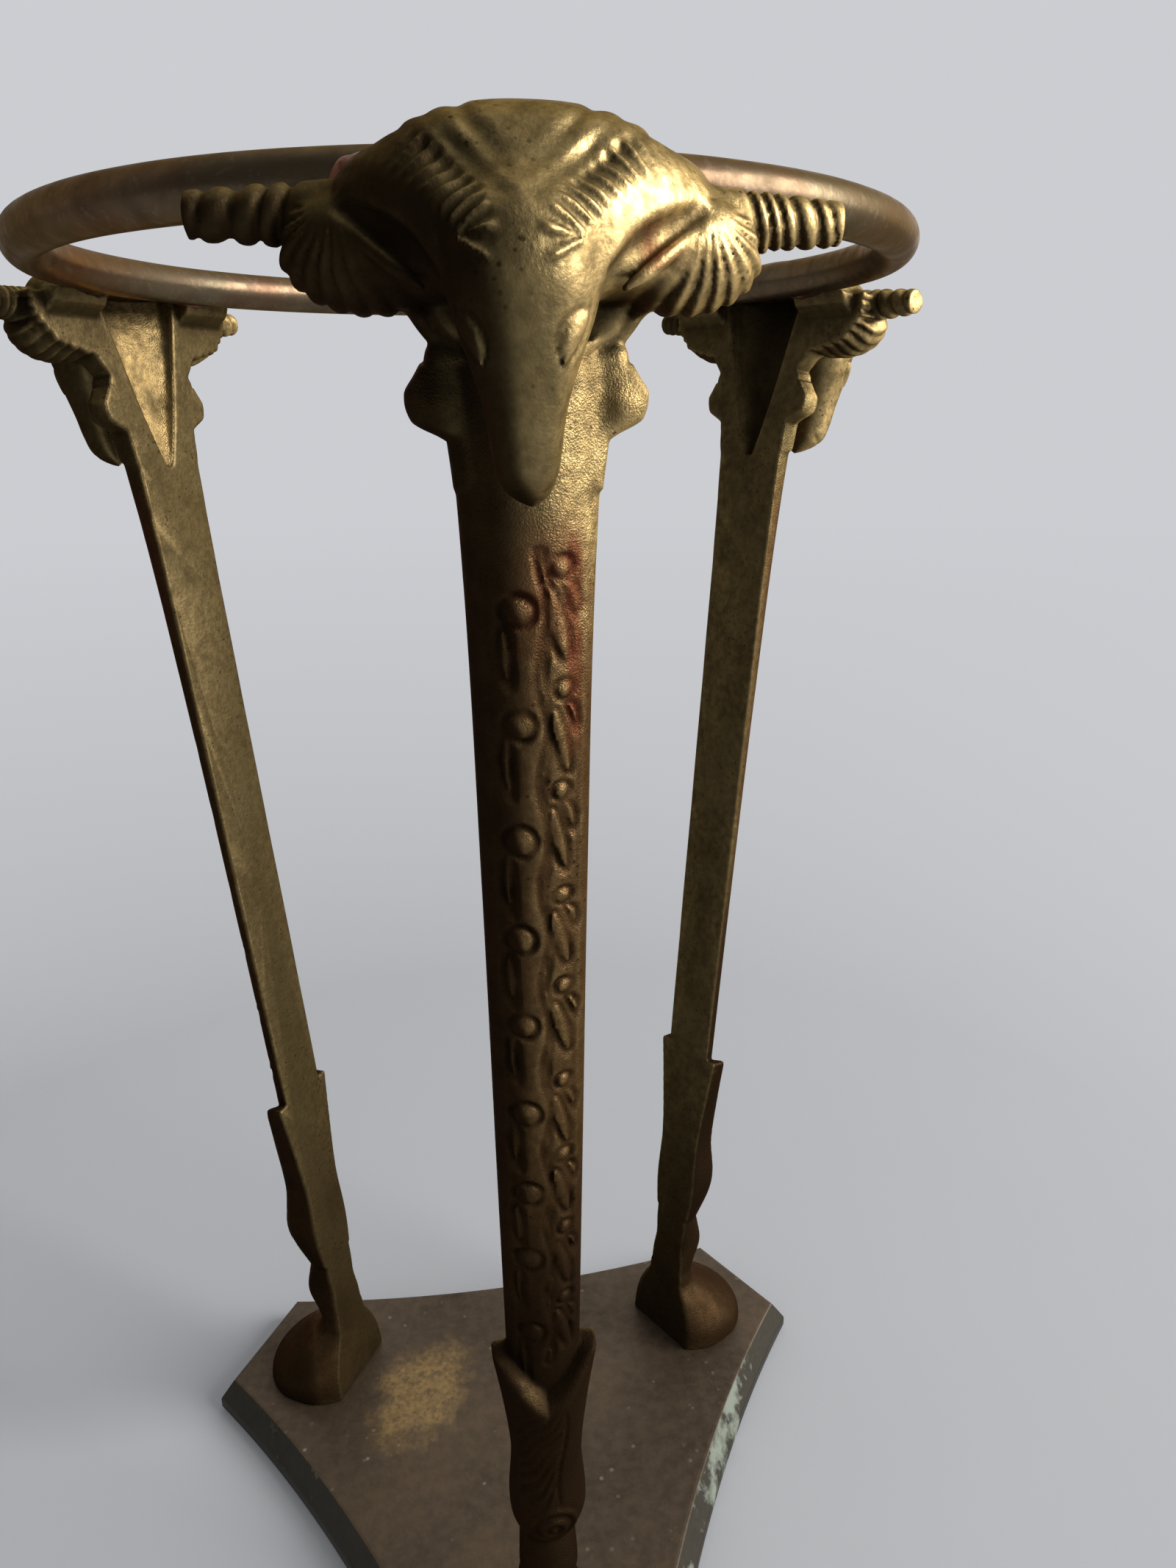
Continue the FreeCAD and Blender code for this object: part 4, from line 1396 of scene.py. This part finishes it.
class TRIPOD_OT_stage(bpy.types.Operator):
    """Set up the camera, the lamps and a plain pale floor"""
    bl_idname = "tripod.stage"
    bl_label = "Stage"

    def execute(self, context):
        scene, stage = context.scene, context.scene.tripod_stage
        scene.camera = self.camera(stage)
        scene.view_settings.view_transform = "Standard"
        self.lamps(stage)
        self.room(scene, stage)
        self.floor(stage)
        return {"FINISHED"}

    def camera(self, stage):
        """The photo's camera, from its place, turn, pitch and roll."""
        turn, pitch, roll = (math.radians(angle) for angle in stage.aim)
        level = math.cos(pitch)
        forward = Vector((math.sin(turn) * level, math.cos(turn) * level, -math.sin(pitch)))
        right = Vector((math.cos(turn), -math.sin(turn), 0.0))
        up = right.cross(forward)
        tilted = math.cos(roll) * right + math.sin(roll) * up
        upward = math.cos(roll) * up - math.sin(roll) * right
        lens = bpy.data.cameras.new("camera")
        lens.sensor_fit = "HORIZONTAL"
        lens.sensor_width = 36.0
        lens.lens = stage.lens
        lens.clip_start = 0.01
        camera = add_object("camera", lens)
        turned = Matrix((tilted, upward, -forward)).transposed().to_4x4()
        camera.matrix_world = Matrix.Translation(stage.camera) @ turned
        return camera

    def lamps(self, stage):
        """Soft square lamps that face the stand."""
        for name, (place, size) in LAMPS.items():
            lamp = bpy.data.lights.new(name, "AREA")
            lamp.energy = getattr(stage, name)
            lamp.size = size
            holder = add_object(name, lamp)
            holder.location = place
            aim = Vector(LAMP_TARGET) - Vector(place)
            holder.rotation_euler = aim.to_track_quat("-Z", "Y").to_euler()

    def room(self, scene, stage):
        """A pale room, which metal mirrors with a window high on the right and a dimmer sheet behind."""
        world = bpy.data.worlds.new("room")
        world.use_nodes = True
        tree = world.node_tree
        tree.nodes.clear()
        path = node(tree, "ShaderNodeLightPath").outputs
        way = node(tree, "ShaderNodeTexCoord").outputs["Generated"]
        along = node(tree, "ShaderNodeSeparateXYZ", {0: way}).outputs

        def toward(direction):
            return node(tree, "ShaderNodeVectorMath", {
                0: way, 1: direction}, operation="DOT_PRODUCT").outputs["Value"]

        def rise(value, low, high, most):
            return node(tree, "ShaderNodeMapRange", {
                "Value": value, "From Min": low, "From Max": high, "To Min": 0.0, "To Max": most},
                interpolation_type="SMOOTHSTEP").outputs[0]

        window = rise(toward(WINDOW_WAY), 0.22, 0.95, WINDOW_BRIGHT)
        sheet = rise(toward(SHEET_WAY), 0.3, 0.95, SHEET_BRIGHT)
        low_down = rise(along["Z"], 0.5, 0.15, WALL_BRIGHT)
        wall = maths(tree, "MULTIPLY", low_down, rise(along["X"], -0.4, 0.6, 1.0))
        shade = maths(tree, "ADD", maths(tree, "ADD", window, wall), maths(tree, "ADD", sheet, CORNER_BRIGHT))
        mirrored = maths(tree, "MAXIMUM", path["Is Glossy Ray"], path["Is Transmission Ray"])
        level = node(tree, "ShaderNodeMix", {
            0: mirrored, 6: tuple(stage.backdrop), 7: shade}, data_type="RGBA")
        seen = node(tree, "ShaderNodeBackground", {"Color": level.outputs[2]})
        light = node(tree, "ShaderNodeBackground", {"Color": (0.95, 0.97, 1.0, 1.0), "Strength": stage.room})
        direct = maths(tree, "MAXIMUM", path["Is Camera Ray"], mirrored)
        shown = node(tree, "ShaderNodeMixShader", {
            0: direct, 1: light.outputs[0], 2: seen.outputs[0]})
        node(tree, "ShaderNodeOutputWorld", {"Surface": shown.outputs[0]})
        scene.world = world

    def floor(self, stage):
        """A round pale floor a hair below the base."""
        shell = bmesh.new()
        bmesh.ops.create_circle(shell, cap_ends=True, segments=96, radius=FLOOR_RADIUS)
        floor = shell_object("floor", shell)
        floor.data.transform(Matrix.Translation((0.0, 0.0, -FLOOR_DROP)))
        made = Finish("Pale sheet", 0.0)
        patches = made.mottle(5.0, 0.3, 0.7)
        colour = made.mix(made.times(patches, 0.3), tuple(stage.floor), tinted(stage.floor, 0.92))
        roughness = made.span(patches, 0.85, 0.95)
        floor.data.materials.append(made.finish(colour, roughness, made.grain(300.0), 0.05, 0.0005))
        self.fade(made, stage)

    def fade(self, made, stage):
        """Lets the floor run into the background well away from the stand."""
        path = made.node("ShaderNodeLightPath").outputs
        place = made.node("ShaderNodeTexCoord").outputs["Object"]
        away = made.node("ShaderNodeVectorMath", {0: place}, operation="LENGTH").outputs["Value"]
        seen = made.maths("MAXIMUM", path["Is Camera Ray"], path["Is Transmission Ray"])
        near = made.maths("DIVIDE", 1.0, away)
        mask = made.times(seen, made.spread(near, 5.0, 0.5, 0.0, 1.0))
        glow = made.node("ShaderNodeEmission", {"Color": tuple(stage.backdrop), "Strength": 1.0})
        both = made.node("ShaderNodeMixShader", {0: mask, 1: made.shader.outputs[0], 2: glow.outputs[0]})
        made.tree.links.new(both.outputs[0], made.output.inputs["Surface"])


class TRIPOD_OT_legs(bpy.types.Operator):
    """Shape one ram's head casting and stand it in its three places"""
    bl_idname = "tripod.legs"
    bl_label = "Legs"

    def execute(self, context):
        sizes = context.scene.tripod_sizes
        material = casting_finish(context.scene.tripod_colours)
        points, faces = leg_clay(sizes, context.scene.tripod_vine, material).surface()
        casting = new_mesh("leg_casting", turn_head(points), faces)
        casting.materials.append(material)
        mark_wear(casting)
        casting = thinned(casting, LEG_TRIANGLES)
        for side, turn in LEG_TURNS.items():
            name = side + "_leg"
            leg = casting.copy()
            mark_patina(leg, turn)
            dressed = turned_copy(leg, name + "_dressed", leg_place(sizes, turn))
            add_piece(name + "_dressed", dressed, "leg", name)
        return {"FINISHED"}


class TRIPOD_OT_ring(bpy.types.Operator):
    """Bend the round rod that lies across the three heads"""
    bl_idname = "tripod.ring"
    bl_label = "Ring"

    def execute(self, context):
        sizes = context.scene.tripod_sizes
        values = {"Radius": sizes.ring_radius, "Rod Radius": sizes.rod_diameter / 2,
                  "Height": sizes.ring_height, "Unevenness": RING_WOBBLE * MM,
                  "Material": ring_finish(context.scene.tripod_colours)}
        mesh = made_by(ring_tree(), bpy.data.meshes.new("ring_seed"), values, "top_ring_dressed")
        add_piece("top_ring_dressed", mesh, "ring", "top_ring")
        return {"FINISHED"}


class TRIPOD_OT_base(bpy.types.Operator):
    """Make the three-cornered base plate"""
    bl_idname = "tripod.base"
    bl_label = "Base"

    def execute(self, context):
        mesh = base_mesh(context.scene.tripod_sizes)
        mesh.materials.clear()
        mesh.materials.append(base_finish(context.scene.tripod_colours))
        heights = np.array([vertex.co.z for vertex in mesh.vertices])
        reach = np.array([math.hypot(vertex.co.x, vertex.co.y) for vertex in mesh.vertices])
        mark(mesh, "edge", (heights < EDGE_TOP * MM) & (reach > EDGE_REACH * MM))
        add_piece("base_plate_dressed", mesh, "base", "base_plate")
        return {"FINISHED"}


class TRIPOD_OT_braze(bpy.types.Operator):
    """Lay the coppery beads that hold the ring to the heads"""
    bl_idname = "tripod.braze"
    bl_label = "Braze"

    def execute(self, context):
        bead = braze_mesh(context.scene.tripod_sizes)
        bead.materials.append(braze_finish(context.scene.tripod_colours))
        for side, turn in LEG_TURNS.items():
            for hand, flip in (("right", 1.0), ("left", -1.0)):
                name = side + "_leg_" + hand + "_braze"
                place = Matrix.Rotation(math.radians(turn), 4, "Z") @ Matrix.Diagonal((flip, 1.0, 1.0, 1.0))
                add_piece(name + "_dressed", turned_copy(bead, name + "_dressed", place), "braze", name)
        return {"FINISHED"}


class TRIPOD_OT_screws(bpy.types.Operator):
    """Give the screws under the base their worn brass finish"""
    bl_idname = "tripod.screws"
    bl_label = "Screws"

    def execute(self, context):
        material = screw_finish(context.scene.tripod_colours)
        for side in LEG_TURNS:
            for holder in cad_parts[side + "_leg_screw"].material_slots:
                holder.material = material
        return {"FINISHED"}


class TRIPOD_PT_panel(bpy.types.Panel):
    """Sidebar panel of the tripod stand"""
    bl_idname = "TRIPOD_PT_panel"
    bl_label = "Ram's Head Tripod"
    bl_space_type = "VIEW_3D"
    bl_region_type = "UI"
    bl_category = "Tripod"

    def draw(self, context):
        for operator in OPERATORS:
            self.layout.operator(operator.bl_idname)
        for name in GROUPS:
            settings = getattr(context.scene, name)
            for item in settings.bl_rna.properties:
                if item.identifier not in {"rna_type", "name"}:
                    self.layout.prop(settings, item.identifier)


OPERATORS = (TRIPOD_OT_stage, TRIPOD_OT_base, TRIPOD_OT_legs, TRIPOD_OT_ring, TRIPOD_OT_braze,
             TRIPOD_OT_screws)
GROUPS = {"tripod_sizes": StandSizes, "tripod_colours": StandColours, "tripod_vine": StandVine,
          "tripod_stage": StandStage}


def register():
    """Adds the settings, operators and panel to Blender."""
    for name, group in GROUPS.items():
        bpy.utils.register_class(group)
        setattr(bpy.types.Scene, name, PointerProperty(type=group))
    for part in OPERATORS + (TRIPOD_PT_panel,):
        bpy.utils.register_class(part)


def unregister():
    """Takes them out again."""
    for part in reversed(OPERATORS + (TRIPOD_PT_panel,)):
        bpy.utils.unregister_class(part)
    for name, group in reversed(GROUPS.items()):
        delattr(bpy.types.Scene, name)
        bpy.utils.unregister_class(group)


def main():
    """Makes every piece."""
    register()
    bpy.ops.tripod.stage()
    bpy.ops.tripod.base()
    bpy.ops.tripod.legs()
    bpy.ops.tripod.ring()
    bpy.ops.tripod.braze()
    bpy.ops.tripod.screws()


if __name__ == "__main__":
    main()
